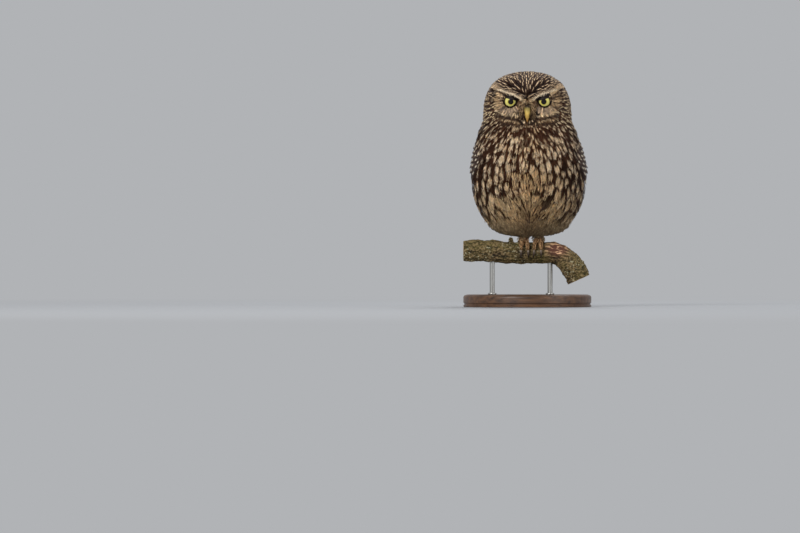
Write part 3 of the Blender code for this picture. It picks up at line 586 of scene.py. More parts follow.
@dataclass(frozen=True)
class TurnedWood(Finish):
    """Oiled walnut, turned on a lathe: straight brown grain about 3 mm apart under a satin oil."""

    name: str = "oiled_walnut"
    early: str = "#6b4a31"
    late: str = "#3b2618"
    grain: float = 3.2
    pore: float = 0.5

    def wire(self, add: Adder) -> dict[str, Any]:
        """Runs the grain along X with dark pores."""
        place = add("TexCoord", output="Object")
        wave, pores = (
            add(
                "TexNoise",
                {
                    "Vector": add("Mapping", {"Vector": place, "Scale": (drawn_out, 1.0, 1.0)}),
                    "Scale": 1 / (size * MM),
                    "Detail": detail,
                },
            )
            for drawn_out, size, detail in ((0.08, self.grain, 4.0), (0.05, self.pore, 2.0))
        )
        wave, dark = add("Math.MULTIPLY", wave, 0.8), add("Math.MULTIPLY", pores, 0.35)
        rings = add("ValToRGB", add("Math.ADD", wave, dark))
        return {
            "Base Color": with_stops(rings, ((0.4, self.late), (0.72, self.early))),
            "Normal": add("Bump", {"Height": pores, "Strength": 0.2, "Distance": 0.1 * MM}),
            "Roughness": add("Math.MULTIPLY_ADD", pores, 0.25, 0.28),
        }


@dataclass(frozen=True)
class BrushedSteel(Finish):
    """Stainless rod, brushed round: fine lines 0.15 mm apart that spread the highlight."""

    name: str = "brushed_stainless"
    colour: str = "#b9b8b4"
    line: float = 0.15

    def wire(self, add: Adder) -> dict[str, Any]:
        """Brushes the steel level."""
        place = add("TexCoord", output="Object")
        level = add("Mapping", {"Vector": place, "Scale": (0.05, 0.05, 1.0)})
        lines = add("TexNoise", {"Vector": level, "Scale": 1 / (self.line * MM), "Detail": 2.0})
        return {
            "Base Color": linear(self.colour),
            "Metallic": 1.0,
            "Normal": add("Bump", {"Height": lines, "Strength": 0.1, "Distance": 0.05 * MM}),
            "Roughness": add("Math.MULTIPLY_ADD", lines, 0.25, 0.2),
        }


@dataclass(frozen=True)
class PaleFloor(Finish):
    """Matt studio paper, pale grey, that fades into the light behind it far from the model."""

    name: str = "studio_paper"
    paper: str = "#a0a2a5"
    beyond: str = "#b1b3b6"
    fade_from: float = 0.2
    fade_to: float = 1.2

    def wire(self, add: Adder) -> dict[str, Any]:
        """Leaves the paper plain."""
        return {"Base Color": linear(self.paper), "Roughness": 0.9}

    def material(self) -> bpy.types.Material:
        """The paper's material, which fades by the distance from the middle."""
        made = super().material()
        tree = made.node_tree
        add = partial(add_node, tree)
        place = add("TexCoord", output="Object")
        distance = add("VectorMath.LENGTH", place, output="Value")
        reach = (distance, self.fade_from, self.fade_to)
        share = add("MapRange", *reach, interpolation_type="SMOOTHSTEP")
        glow = add("Emission", {"Color": linear(self.beyond)})
        faded = add("MixShader", share, tree.nodes["Principled BSDF"].outputs[0], glow)
        plug(tree, tree.nodes["Material Output"].inputs["Surface"], faded)
        return made


@dataclass(frozen=True)
class Tract:
    """Feathers of one part of the body, by their place round the bird and over the perch.

    pitch is how far apart they lie along and across their lie, in mm. The pale mark is an
    ellipse on each web: its centre and half sizes are shares of the feather's length and of its
    half width. spread is how far the tract reaches, in degrees and mm.
    """

    turn: float
    height: float
    pitch: tuple[float, float]
    mark: tuple[float, float]
    reach: tuple[float, float]
    strength: float
    ground: str
    pale: str
    spread: tuple[float, float] = (26.0, 10.0)

    def row(self) -> list[float]:
        """The tract's numbers as one row, its colours in linear light."""
        colours = [*rgb(self.ground), *rgb(self.pale)]
        return [*self.pitch, *self.mark, *self.reach, self.strength, *colours]


# The coat's tracts from the belly up to the crown, at turns from 0 in front to 180 behind.
TRACTS = (
    Tract(0, 7, (5.5, 3.0), (0.6, 0.0), (0.5, 0.9), 0.7, "#776147", "#ab936e"),
    Tract(60, 9, (6.5, 4.2), (0.6, 0.0), (0.45, 0.7), 0.8, "#6a5438", "#a8926e"),
    Tract(130, 10, (7, 4.8), (0.65, 0.0), (0.4, 0.8), 0.8, "#7a6449", "#c9b898"),
    Tract(0, 26, (8.5, 4.0), (0.74, 0.6), (0.42, 0.3), 0.9, "#472d1b", "#8f7350"),
    Tract(32, 30, (9.5, 5.2), (0.76, 0.5), (0.42, 0.42), 1.0, "#3e2717", "#bba078"),
    Tract(62, 30, (11, 7.0), (0.78, 0.0), (0.18, 0.4), 1.0, "#4b3020", "#bda583"),
    Tract(100, 30, (11, 7.4), (0.78, 0.0), (0.19, 0.45), 1.0, "#4e3524", "#c2ae8e"),
    Tract(0, 58, (8.0, 3.6), (0.74, 0.56), (0.36, 0.3), 0.95, "#472b19", "#b8956a"),
    Tract(34, 55, (9.5, 5.4), (0.77, 0.2), (0.23, 0.34), 1.0, "#432818", "#d6ba92"),
    Tract(60, 55, (10.5, 7.0), (0.78, 0.0), (0.18, 0.42), 1.0, "#42291a", "#d2bb98"),
    Tract(90, 58, (10.5, 7.2), (0.78, 0.0), (0.18, 0.42), 1.0, "#3f281a", "#cdb898"),
    Tract(0, 84, (7.5, 4.0), (0.76, 0.3), (0.26, 0.34), 0.95, "#53331f", "#d8ba90"),
    Tract(34, 80, (8.5, 5.4), (0.78, 0.1), (0.2, 0.42), 1.0, "#4e301e", "#e2c9a6"),
    Tract(75, 84, (6.5, 4.8), (0.78, 0.0), (0.15, 0.34), 1.0, "#35221a", "#dac7aa"),
    Tract(0, 101, (4.8, 2.6), (0.74, 0.0), (0.32, 0.55), 0.9, "#543524", "#d3b48c"),
    Tract(42, 100, (6.0, 3.6), (0.76, 0.0), (0.25, 0.46), 0.95, "#4e3020", "#dcc29e"),
    Tract(85, 104, (5.5, 3.8), (0.78, 0.0), (0.17, 0.36), 0.95, "#3c271a", "#d3bd9c"),
    Tract(62, 120, (3.8, 2.3), (0.76, 0.0), (0.26, 0.36), 0.95, "#412819", "#d2b98f", (16, 9)),
    Tract(80, 138, (4.0, 2.2), (0.76, 0.0), (0.28, 0.3), 0.9, "#3d281b", "#c8ae86", (18, 10)),
    Tract(0, 142, (3.6, 1.6), (0.8, 0.0), (0.38, 0.24), 1.0, "#2b180b", "#debc96", (40, 6)),
    Tract(0, 153, (4.4, 1.9), (0.8, 0.0), (0.38, 0.24), 1.0, "#2a170d", "#e2c29c", (40, 5)),
    Tract(60, 151, (4.4, 1.9), (0.8, 0.0), (0.38, 0.26), 1.0, "#2c190f", "#debf98", (40, 7)),
    Tract(90, 164, (4.2, 2.0), (0.78, 0.0), (0.32, 0.24), 0.95, "#3a2418", "#d3b892", (90, 6)),
    Tract(150, 150, (5, 3.6), (0.78, 0.0), (0.16, 0.34), 0.95, "#40291b", "#d0bb9a", (35, 10)),
    Tract(140, 134, (5.5, 4.2), (0.77, 0.0), (0.2, 0.5), 1.0, "#3f291b", "#dac8ac", (20, 8)),
    Tract(180, 136, (5.5, 4.2), (0.78, 0.0), (0.16, 0.36), 0.95, "#3f291b", "#d2bd9c", (18, 8)),
    Tract(150, 118, (7, 5.4), (0.77, 0.0), (0.2, 0.52), 1.0, "#442d1e", "#decdb0", (40, 7)),
    Tract(150, 98, (9, 7.2), (0.8, 0.5), (0.11, 0.27), 1.0, "#4c3423", "#dccbae", (40, 10)),
    Tract(150, 74, (10, 8.2), (0.8, 0.5), (0.1, 0.25), 1.0, "#4c3423", "#dccbae", (45, 12)),
    Tract(160, 48, (10, 8.0), (0.78, 0.46), (0.12, 0.3), 1.0, "#4f3826", "#d8c6a8", (40, 12)),
    Tract(160, 26, (10, 7.0), (0.74, 0.0), (0.26, 0.6), 1.0, "#5f4a34", "#d6c6aa", (40, 8)),
)

FACE_TRACT = Tract(0, 130, (1.7, 0.66), (0.6, 0.0), (0.6, 0.8), 0.0, "#5a4029", "#cbaa80")
LEG_TRACT = Tract(0, 4, (3.0, 0.6), (0.72, 0.0), (0.35, 0.6), 0.8, "#6a4526", "#b98c58")
TOE_TRACT = Tract(0, 0, (2.3, 0.5), (0.72, 0.0), (0.35, 0.6), 0.8, "#6d482b", "#c59f70")
# The palest that loose barbs of the belly and breast get, their painted highlights included.
BARB_PALE = "#f0dabb"


@dataclass(frozen=True)
class Stroke:
    """A marking: a line through points (across, height over the perch) in mm."""

    path: tuple[tuple[float, float], ...]
    width: float
    colour: str
    strength: float = 1.0

    def cover(self, across: Array, height: Array) -> Array:
        """How strongly the stroke covers places seen from the front, from 0 to 1.

        Args:
            across: distances from the middle, in mm.
            height: heights over the perch, in mm.

        Returns:
            The cover at each place.
        """
        nearest = np.full(across.shape, 1e6)
        for (x0, z0), (x1, z1) in zip(self.path, self.path[1:] or self.path):
            run = np.array([x1 - x0, z1 - z0])
            size = max(float(run @ run), 1e-6)
            share = np.clip(((across - x0) * run[0] + (height - z0) * run[1]) / size, 0, 1)
            away = np.hypot(across - x0 - share * run[0], height - z0 - share * run[1])
            nearest = np.minimum(nearest, away)
        return self.strength * (1 - fade(nearest, 0.6 * self.width, 1.25 * self.width))


# Where the crown's feathers fan out from, between the eyes.
CROWN_SOURCE = np.array([0, -34 * MM, PERCH_TOP + 137 * MM])
EYE_ACROSS, EYE_HEIGHT = 15.7, 135.4
BROW = ((5.4, 136.6), (8.8, 138.6), (15, 142.2), (22, 144.4), (29, 147), (35, 151))
# Markings of one half of the face, which the other half mirrors, from the cheek up to the brow.
# Some of them are painted shadows, as marked.
FACE_STROKES = (
    Stroke(((11, 126.5), (17, 124.5), (24, 127)), 2.6, "#cdb398", 0.5),
    Stroke(((25.5, 131), (29, 134), (30, 138)), 2.0, "#a88a64", 0.6),
    Stroke(((5.5, 133), (8.5, 129)), 1.5, "#6d4c30"),
    Stroke(((4.6, 123.6), (9.6, 122)), 2.0, "#1b110d"),
    # Partly the dark cere with its nostrils, partly painted shadow of the bristles between the
    # eyes.
    Stroke(((0, 131.6), (1.4, 132.6)), 1.7, "#1b110d"),
    Stroke(((3.4, 134.6), (5.6, 136.4)), 1.8, "#d8bb92", 0.85),
    Stroke(BROW, 1.2, "#e4ceae", 0.95),
    Stroke(((1.2, 137.4), (1.7, 141)), 0.5, "#cba77f", 0.4),
    Stroke(((29.5, 148.5), (33.5, 151)), 2.4, "#bd9f7c", 0.8),
    # Painted shadow: a dark line on the lid right under the brow, where the brow's shadow falls.
    Stroke(((8.9, 135.8), (13, 139.6), (22, 142)), 0.8, "#1b110d"),
    Stroke(((31, 125.6), (24, 122.6), (13, 121.4), (7.5, 119.4), (2.5, 114.6)), 0.85, "#dcc19a"),
    # Painted shadow: a dark line just under the facial disc's pale lower edge.
    Stroke(((31, 121.6), (20, 119.4), (9.5, 117.2), (4, 112.6)), 1.3, "#2e1b10", 0.9),
    Stroke(((28, 117.2), (16, 116.2), (8.5, 113.6)), 0.8, "#c4a57e", 0.9),
    Stroke(((27, 114), (15, 112.6), (8, 110)), 1.1, "#351f12", 0.8),
)
# Bold markings of the breast as the photograph shows them, not mirrored.
BODY_STROKES = (
    Stroke(((20, 87), (28, 84)), 3.6, "#e8d0aa"),
    Stroke(((21, 75), (29, 72)), 4.0, "#e8d0aa"),
    Stroke(((-13.5, 98), (-13, 93)), 3.2, "#e0c8a2"),
    Stroke(((-28, 88), (-24, 80)), 4.0, "#e4cca6"),
    Stroke(((34, 94), (40, 88)), 3.0, "#e6cfaa"),
    Stroke(((-2, 106), (-1, 92)), 2.4, "#4a3829", 0.8),
    Stroke(((10, 99), (20, 97)), 3.0, "#4a3829", 0.6),
    Stroke(((30, 99), (40, 100)), 2.4, "#4a3829", 0.6),
    Stroke(((24, 62), (12, 50), (4, 40)), 1.1, "#341f12", 0.9),
    Stroke(((22, 44), (9, 28)), 1.0, "#341f12", 0.9),
    Stroke(((33, 52), (27, 42)), 1.0, "#341f12", 0.7),
    Stroke(((-20, 62), (-12, 47)), 1.1, "#341f12", 0.8),
    Stroke(((-27, 45), (-15, 30)), 1.1, "#341f12", 0.8),
)


@dataclass
class Places:
    """Places on the bird's surface, and where they are round it."""

    points: Array
    normals: Array

    def __getitem__(self, chosen: Any) -> "Places":
        """Some of them."""
        return Places(self.points[chosen], self.normals[chosen])

    @cached_property
    def aside(self) -> Array:
        """How far right of the bird's middle they are, in metres: it leans below its neck."""
        lean = LEAN * (1 - fade(self.points[:, 2] - PERCH_TOP, 60 * MM, 118 * MM))
        return self.points[:, 0] - lean

    @cached_property
    def across(self) -> Array:
        """How far they are from the middle, in mm."""
        return np.abs(self.aside) / MM

    @cached_property
    def side(self) -> Array:
        """1 on the viewer's right and -1 on the left."""
        return np.where(self.aside < 0, -1.0, 1.0)

    @cached_property
    def height(self) -> Array:
        """Their heights over the perch, in mm."""
        return (self.points[:, 2] - PERCH_TOP) / MM

    @cached_property
    def turn(self) -> Array:
        """Their turns round the bird, from 0 in front to 180 behind."""
        middle = np.interp(self.height, (20, 44, 86, 117, 165), (12, 10, 3, -1, -6)) * MM
        return np.degrees(np.arctan2(np.abs(self.aside), middle - self.points[:, 1]))

    @cached_property
    def from_eye(self) -> Array:
        """How far they are from the nearer eye's middle seen from the front, in mm."""
        return np.hypot(self.across - EYE_ACROSS, self.height - EYE_HEIGHT)

    def front(self, start: float, end: float) -> Array:
        """How much they face forwards: 0 up to start and 1 from end."""
        return fade(-self.normals[:, 1], start, end)


class Ground:
    """A closed guide surface that feathers are laid over."""

    FOLD_REACH = 9 * MM
    STEP_OFF = 0.4 * MM

    def __init__(self, obj: bpy.types.Object) -> None:
        """Reads an object's faces, and removes the object.

        Args:
            obj: the guide.
        """
        mesh = bmesh.new()
        mesh.from_mesh(obj.data)
        bpy.data.objects.remove(obj)
        bmesh.ops.triangulate(mesh, faces=mesh.faces)
        mesh.normal_update()
        self.tree = BVHTree.FromBMesh(mesh)
        mesh.verts.index_update()
        self.points = np.array([v.co for v in mesh.verts])
        normals = np.array([v.normal for v in mesh.verts])
        self.faces = np.array([[v.index for v in f.verts] for f in mesh.faces])
        self.areas = np.array([f.calc_area() for f in mesh.faces])
        self.normals = unit(normals[self.faces].mean(1))
        mesh.free()

    def nearest(self, points: Array) -> Places:
        """The surface's nearest places to these points."""
        found = [self.tree.find_nearest(Vector(p)) for p in points]
        return Places(np.array([f[0] for f in found]), self.normals[[f[2] for f in found]])

    def is_open(self, at: Places) -> Array:
        """Which of these places look out, and not into a fold or a hollow."""
        starts = at.points + at.normals * self.STEP_OFF
        hits = [
            self.tree.ray_cast(Vector(p), Vector(n), self.FOLD_REACH)[0]
            for p, n in zip(starts, at.normals)
        ]
        return np.array([hit is None for hit in hits])

    def scattered(self, density: Array | float, rng: Rng) -> Places:
        """Places on the surface, drawn at random.

        Args:
            density: how many a square metre takes, for each face or for all.
            rng: the source of random numbers.

        Returns:
            The places.
        """
        weights = self.areas * density
        count = int(weights.sum())
        picked = rng.choice(len(self.faces), size=count, p=weights / weights.sum())
        a, b = rng.random(count), rng.random(count)
        flip = a + b > 1
        a, b = np.where(flip, 1 - a, a), np.where(flip, 1 - b, b)
        p, q, r = (self.points[self.faces[picked, k]] for k in range(3))
        return Places(p + (q - p) * a[:, None] + (r - p) * b[:, None], self.normals[picked])


def body_flow(at: Places) -> Array:
    """The lie of the coat: which way feathers point at places, as vectors on the surface."""
    side, height, points, normals = at.side, at.height, at.points, at.normals
    back = fade(at.turn, 55, 125)
    inward = np.interp(height, (12, 32, 55, 80, 105), (0.8, 0.8, 0.35, -0.1, -0.3))
    inward = inward * np.clip(at.across / 14, 0, 1) * (1 - back)
    body = np.stack([-side * (inward + 0.15 * back), 0.3 + 0.55 * back, -1 + 0.45 * back], 1)
    crown = on_tangent(points - CROWN_SOURCE, normals)
    level = np.ones(len(side))
    down = np.stack([-0.1 * side, 0.25 * level, -level], 1)
    nape = fade(at.turn, 100, 160)[:, None] * fade(height, 162, 140)[:, None]
    head = crown * (1 - nape) + down * nape
    eye_height = level * (PERCH_TOP + EYE_HEIGHT * MM)
    eye = np.stack([side * EYE_ACROSS * MM, points[:, 1], eye_height], 1)
    from_eye = np.linalg.norm(points - eye, axis=1) / MM
    over_brow = height - brow_line(at.across)
    disc = (1 - fade(from_eye, 10, 18)) * fade(at.across, 5, 9) * at.front(0.1, 0.4)
    disc = (disc * (1 - fade(over_brow, 0.5, 2.5)))[:, None]
    head = head * (1 - disc) + on_tangent(points - eye, normals) * disc
    rise = (brow_line(at.across + 1) - brow_line(at.across - 1)) / 2
    brow = np.exp(-((over_brow / 1.8) ** 2)) * fade(at.across, 3, 6)
    brow = (brow * (1 - fade(at.across, 30, 36)) * (at.turn < 90))[:, None]
    head = head * (1 - brow) + on_tangent(np.stack([side, 0 * rise, rise], 1), normals) * brow
    on_head = fade(height, 104, 116)[:, None]
    mixed = on_tangent(body, normals) * (1 - on_head) + on_tangent(head, normals) * on_head
    return on_tangent(mixed, normals)


def leg_flow(at: Places) -> Array:
    """The lie of the feathers down the shank and then along the toes round the branch."""
    points = at.points
    height = points[:, 2] - PERCH_TOP
    up = points[:, 2] - (PERCH_TOP - PERCH_RADIUS)
    way = np.stack([np.zeros(len(up)), np.sign(points[:, 1]) * up, -np.abs(points[:, 1])], 1)
    shank = fade(height, 5 * MM, 8 * MM)[:, None]
    down = np.array([[0.0, -0.1, -1.0]])
    return on_tangent(unit(way) * (1 - shank) + down * shank, at.normals)


@dataclass
class Plumes:
    """What feathers at some places are like, one row each."""

    rows: Array

    def those(self, chosen: Array) -> "Plumes":
        """What some of them are like."""
        return Plumes(self.rows[chosen])

    def as_barbs(self, pitch: float, width: float, strength: float) -> "Plumes":
        """Makes them barbs of one size, and gives their marks a strength."""
        self.rows[:, [0, 1, 6]] = pitch, width, strength
        return self

    @property
    def length(self) -> Array:
        """Their lengths: each shows nearly half of itself past the next one's tip."""
        return 2.2 * self.rows[:, 0] * MM

    @property
    def width(self) -> Array:
        """Their widths: each covers its neighbours' edges."""
        return 1.5 * self.rows[:, 1] * MM

    @property
    def pitch(self) -> Array:
        """How far apart they lie, along and across."""
        return self.rows[:, 0:2] * MM

    @property
    def mark(self) -> Array:
        """The centres of their pale marks."""
        return self.rows[:, 2:4]

    @property
    def reach(self) -> Array:
        """The half sizes of their pale marks."""
        return self.rows[:, 4:6]

    @property
    def strength(self) -> Array:
        """How strong their marks are."""
        return self.rows[:, 6]

    @property
    def ground(self) -> Array:
        """Their ground colours."""
        return self.rows[:, 7:10]

    @property
    def pale(self) -> Array:
        """Their marks' colours."""
        return self.rows[:, 10:13]


def brow_line(across: Array) -> Array:
    """The height of the brow at distances from the middle, in mm."""
    return np.interp(np.abs(across), *np.array(((0, 135), *BROW)).T)


def face_share(at: Places) -> Array:
    """How much of the fine face feathers each place has, from 0 to 1."""
    across = at.across
    over_brow = at.height - brow_line(across)
    disc = 1 - fade(at.from_eye, 12.5, 18.5)
    bill = 1 - fade(np.hypot(across, 0.8 * (at.height - 125)), 8, 14)
    lower = (1 - fade(np.abs(at.height - 119.5), 4, 12)) * (1 - fade(across, 22, 34))
    under_brow = 1 - fade(over_brow, 0.8, 2.0)
    brow = np.exp(-((over_brow / 1.8) ** 2)) * (across > 4) * (across < 33)
    share = np.max([np.max([disc, bill, lower], axis=0) * under_brow, brow], axis=0)
    return share * at.front(0.0, 0.35)


def body_plumage(at: Places) -> Plumes:
    """What the feathers are like at places on the body.

    Args:
        at: the places.

    Returns:
        Sizes, marks and colours, blended from the nearest tracts and the bold markings.
    """
    nearness = [
        -(((at.turn - t.turn) / t.spread[0]) ** 2) - ((at.height - t.height) / t.spread[1]) ** 2
        for t in TRACTS
    ]
    weight = np.exp(nearness - np.max(nearness, axis=0))
    weight /= weight.sum(0)
    rows = weight.T @ np.array([t.row() for t in TRACTS])
    share = face_share(at)[:, None]
    fine = np.array([FACE_TRACT.row()])
    rows[:, :2] = rows[:, :2] ** (1 - share) * fine[:, :2] ** share
    look = fade(share, 0.4, 0.6)
    rows[:, 2:] = rows[:, 2:] * (1 - look) + fine[:, 2:] * look
    over_brow = at.height - brow_line(at.across)
    front = at.front(0.0, 0.3) * (1 - fade(over_brow, 0, 11)) * (over_brow > -2)
    rows[:, :2] *= (1 - 0.55 * front)[:, None]
    made = Plumes(rows)
    paint_breast(made, at)
    paint_face(made, at)
    return made


def leg_plumage(at: Places) -> Plumes:
    """What the short feathers of the legs and toes are like."""
    shank = fade(at.points[:, 2] - PERCH_TOP, 2 * MM, 7 * MM)[:, None]
    return Plumes(np.array([LEG_TRACT.row()]) * shank + np.array([TOE_TRACT.row()]) * (1 - shank))


def paint_breast(plumes: Plumes, at: Places) -> None:
    """Makes the marks of the breast's bold places lighter or fainter.

    Args:
        plumes: the feathers, changed in place.
        at: their places.
    """
    front = at.front(0.0, 0.3)
    for stroke in BODY_STROKES:
        cover = (front * stroke.cover(at.aside / MM, at.height))[:, None]
        plumes.rows[:, 10:13] += cover * (rgb(stroke.colour) - plumes.pale)
        plumes.rows[:, 4:6] *= 1 + 0.25 * cover * (1 if stroke.strength == 1 else -1)


def paint_face(plumes: Plumes, at: Places) -> None:
    """Lays the face's markings over the feathers' colours.

    Args:
        plumes: the feathers, changed in place.
        at: their places.
    """
    front = at.front(0.05, 0.3)
    around = np.arctan2(at.height - EYE_HEIGHT, at.across - EYE_ACROSS)
    rays = np.sin(around * 13 + 1.9 * np.sin(around * 5 + at.side))
    rays = rays + 0.6 * np.sin(around * 29 + 2 * at.side)
    share = (0.5 + 0.5 * np.tanh(1.8 * rays))[:, None]
    rayed = rgb("#452c1b") * (1 - share) + rgb("#d4b388") * share
    in_disc = front * (1 - fade(at.from_eye, 15, 19)) * fade(at.from_eye, 6.2, 8.5)
    in_disc = in_disc * fade(at.across, 7, 11)
    in_disc = in_disc * (1 - fade(at.height - brow_line(at.across), -0.5, 0.8))
    covers = [(in_disc, rayed), (front * (1 - fade(at.from_eye, 6.2, 7.1)), rgb("#1b110d"))]
    covers += [(front * s.cover(at.across, at.height), rgb(s.colour)) for s in FACE_STROKES]
    for cover, colour in covers:
        for part in (slice(7, 10), slice(10, 13)):
            plumes.rows[:, part] += cover[:, None] * (colour - plumes.rows[:, part])


@dataclass(frozen=True)
class Cut:
    """How finely a feather's vane is cut: shares along it, and columns across it."""

    alongs: tuple[float, ...]
    columns: int

    @property
    def corners(self) -> int:
        """How many corners a feather has."""
        return len(self.alongs) * self.columns

    @property
    def upper_faces(self) -> int:
        """How many triangles are on a feather's upper side."""
        return 2 * (len(self.alongs) - 1) * (self.columns - 1)

    def grid(self) -> tuple[Array, Array]:
        """Each corner's share along the feather, and its place across from -1 to 1."""
        across = np.linspace(-1, 1, self.columns)
        return np.repeat(self.alongs, self.columns), np.tile(across, len(self.alongs))

    def faces(self) -> Array:
        """The triangles: the upper side, the underside from edge to edge, and both ends."""
        rows, columns = len(self.alongs), self.columns
        found = []
        for r in range(rows - 1):
            a, b = r * columns, (r + 1) * columns
            for c in range(columns - 1):
                found += [(a + c, a + c + 1, b + c + 1), (a + c, b + c + 1, b + c)]
        for r in range(rows - 1):
            a, b, last = r * columns, (r + 1) * columns, columns - 1
            found += [(a, b + last, a + last), (a, b, b + last)]
        end = (rows - 1) * columns
        for c in range(1, columns - 1):
            found += [(0, c + 1, c), (end, end + c, end + c + 1)]
        return np.array(found)


LARGE_CUT = Cut((0.0, 0.2, 0.4, 0.56, 0.7, 0.82, 0.91, 0.97, 1.0), 9)
MIDDLE_CUT = Cut((0.0, 0.3, 0.55, 0.74, 0.88, 0.96, 1.0), 7)
SMALL_CUT = Cut((0.0, 0.35, 0.68, 1.0), 3)
BARB_CUT = Cut((0.0, 0.4, 0.75, 1.0), 3)
WISP_CUT = Cut((0.0, 0.4, 0.75, 1.0), 2)
# A feather's size on the bake map.
PATCH = 0.003
# Where the coat's colours are read: how far off a root may be, how far its mark reaches as the
# square of its half sizes, and the painted shade: how much darker the ground is painted between
# the marks, as barbs in the shade of the feather above.
LONGEST_FEATHER = 20 * MM
MARK_EDGE = 1.55
GROUND_PAINTED_SHADE = 0.75


def outline(alongs: Array, widest: float = 0.6) -> Array:
    """A rounded feather's half width at shares of its length, against its widest."""
    rise = 0.34 + 0.66 * np.sin(0.5 * np.pi * np.clip(alongs / widest, 0, 1))
    end = np.sqrt(np.clip(1 - ((alongs - widest) / (1.03 - widest)) ** 2, 0, 1))
    return np.where(alongs < widest, rise, end)


@dataclass
class Vanes:
    """Feathers gathered as arrays, to be written as one mesh."""

    cut: Cut
    points: list[Array] = field(default_factory=list)
    values: dict[str, list[Array]] = field(default_factory=dict)

    def add(
        self, points: Array, roots: Array, size: Array, colours: tuple[Array, Array], spot: Array,
        spot_reach: Array, seeds: Array,
    ) -> None:
        """Adds feathers.

        Args:
            points: their corners, as feathers by corners by 3.
            roots: where each lies on the bake map.
            size: lengths and half widths in mm and how often marks repeat, a row for each.
            colours: ground colours and the marks' colours.
            spot: the marks' centres and strengths.
            spot_reach: the marks' half sizes and how soft their edges are.
            seeds: a random number for each feather.
        """
        count, corners = points.shape[:2]
        along, across = self.cut.grid()
        placed = np.empty((count, corners, 3))
        placed[..., 0], placed[..., 1], placed[..., 2] = along, across, seeds[:, None]
        self.points.append(points)
        self.keep("feather", placed)
        for name, value in (
            ("feather_size", size), ("ground", colours[0]), ("pale", colours[1]), ("spot", spot),
            ("spot_reach", spot_reach),
        ):
            self.keep(name, np.repeat(value[:, None, :], corners, axis=1))
        patch = np.stack([0.5 * placed[..., 1], placed[..., 0]], 2) * PATCH
        self.keep("OFBake", roots[:, None, :] + patch)

    def keep(self, name: str, value: Array) -> None:
        """Keeps an attribute's values."""
        self.values.setdefault(name, []).append(value)

    def mesh(self, name: str) -> bpy.types.Object:
        """Writes the feathers as one object.

        Args:
            name: the object's name.

        Returns:
            The object with its attributes and its bake map.
        """
        points = np.concatenate(self.points)
        count, corners = points.shape[:2]
        pattern = self.cut.faces()
        faces = (np.arange(count)[:, None, None] * corners + pattern[None]).reshape(-1, 3)
        data = bpy.data.meshes.new(name)
        data.vertices.add(count * corners)
        data.vertices.foreach_set("co", points.astype(np.float32).ravel())
        data.loops.add(faces.size)
        data.loops.foreach_set("vertex_index", faces.astype(np.int32).ravel())
        data.polygons.add(len(faces))
        data.polygons.foreach_set("loop_start", np.arange(len(faces), dtype=np.int32) * 3)
        data.update(calc_edges=True)
        upper = np.tile(np.arange(len(pattern)) < self.cut.upper_faces, count)
        data.polygons.foreach_set("use_smooth", upper)
        for key, parts in self.values.items():
            value = np.concatenate(parts).reshape(count * corners, -1).astype(np.float32)
            if key == "OFBake":
                layer = data.uv_layers.new(name=key)
                layer.uv.foreach_set("vector", value[faces.ravel()].ravel())
            else:
                write_points(data, key, value)
        made = bpy.data.objects.new(name, data)
        bpy.context.scene.collection.objects.link(made)
        return made


def strip_bake(count: int, height: float) -> Array:
    """Where a row of feathers lies on the bake map: side by side at one height."""
    return np.column_stack([0.05 + 0.9 * (np.arange(count) + 0.5) / count, np.full(count, height)])


def body_bake(at: Places) -> Array:
    """Where feathers rooted at places lie on an unwrap of the body: round it and up it."""
    up = np.clip((at.height + 14) / 182, 0, 1)
    return np.stack([0.5 + at.side * at.turn / 380, 0.03 + 0.93 * up], 1)


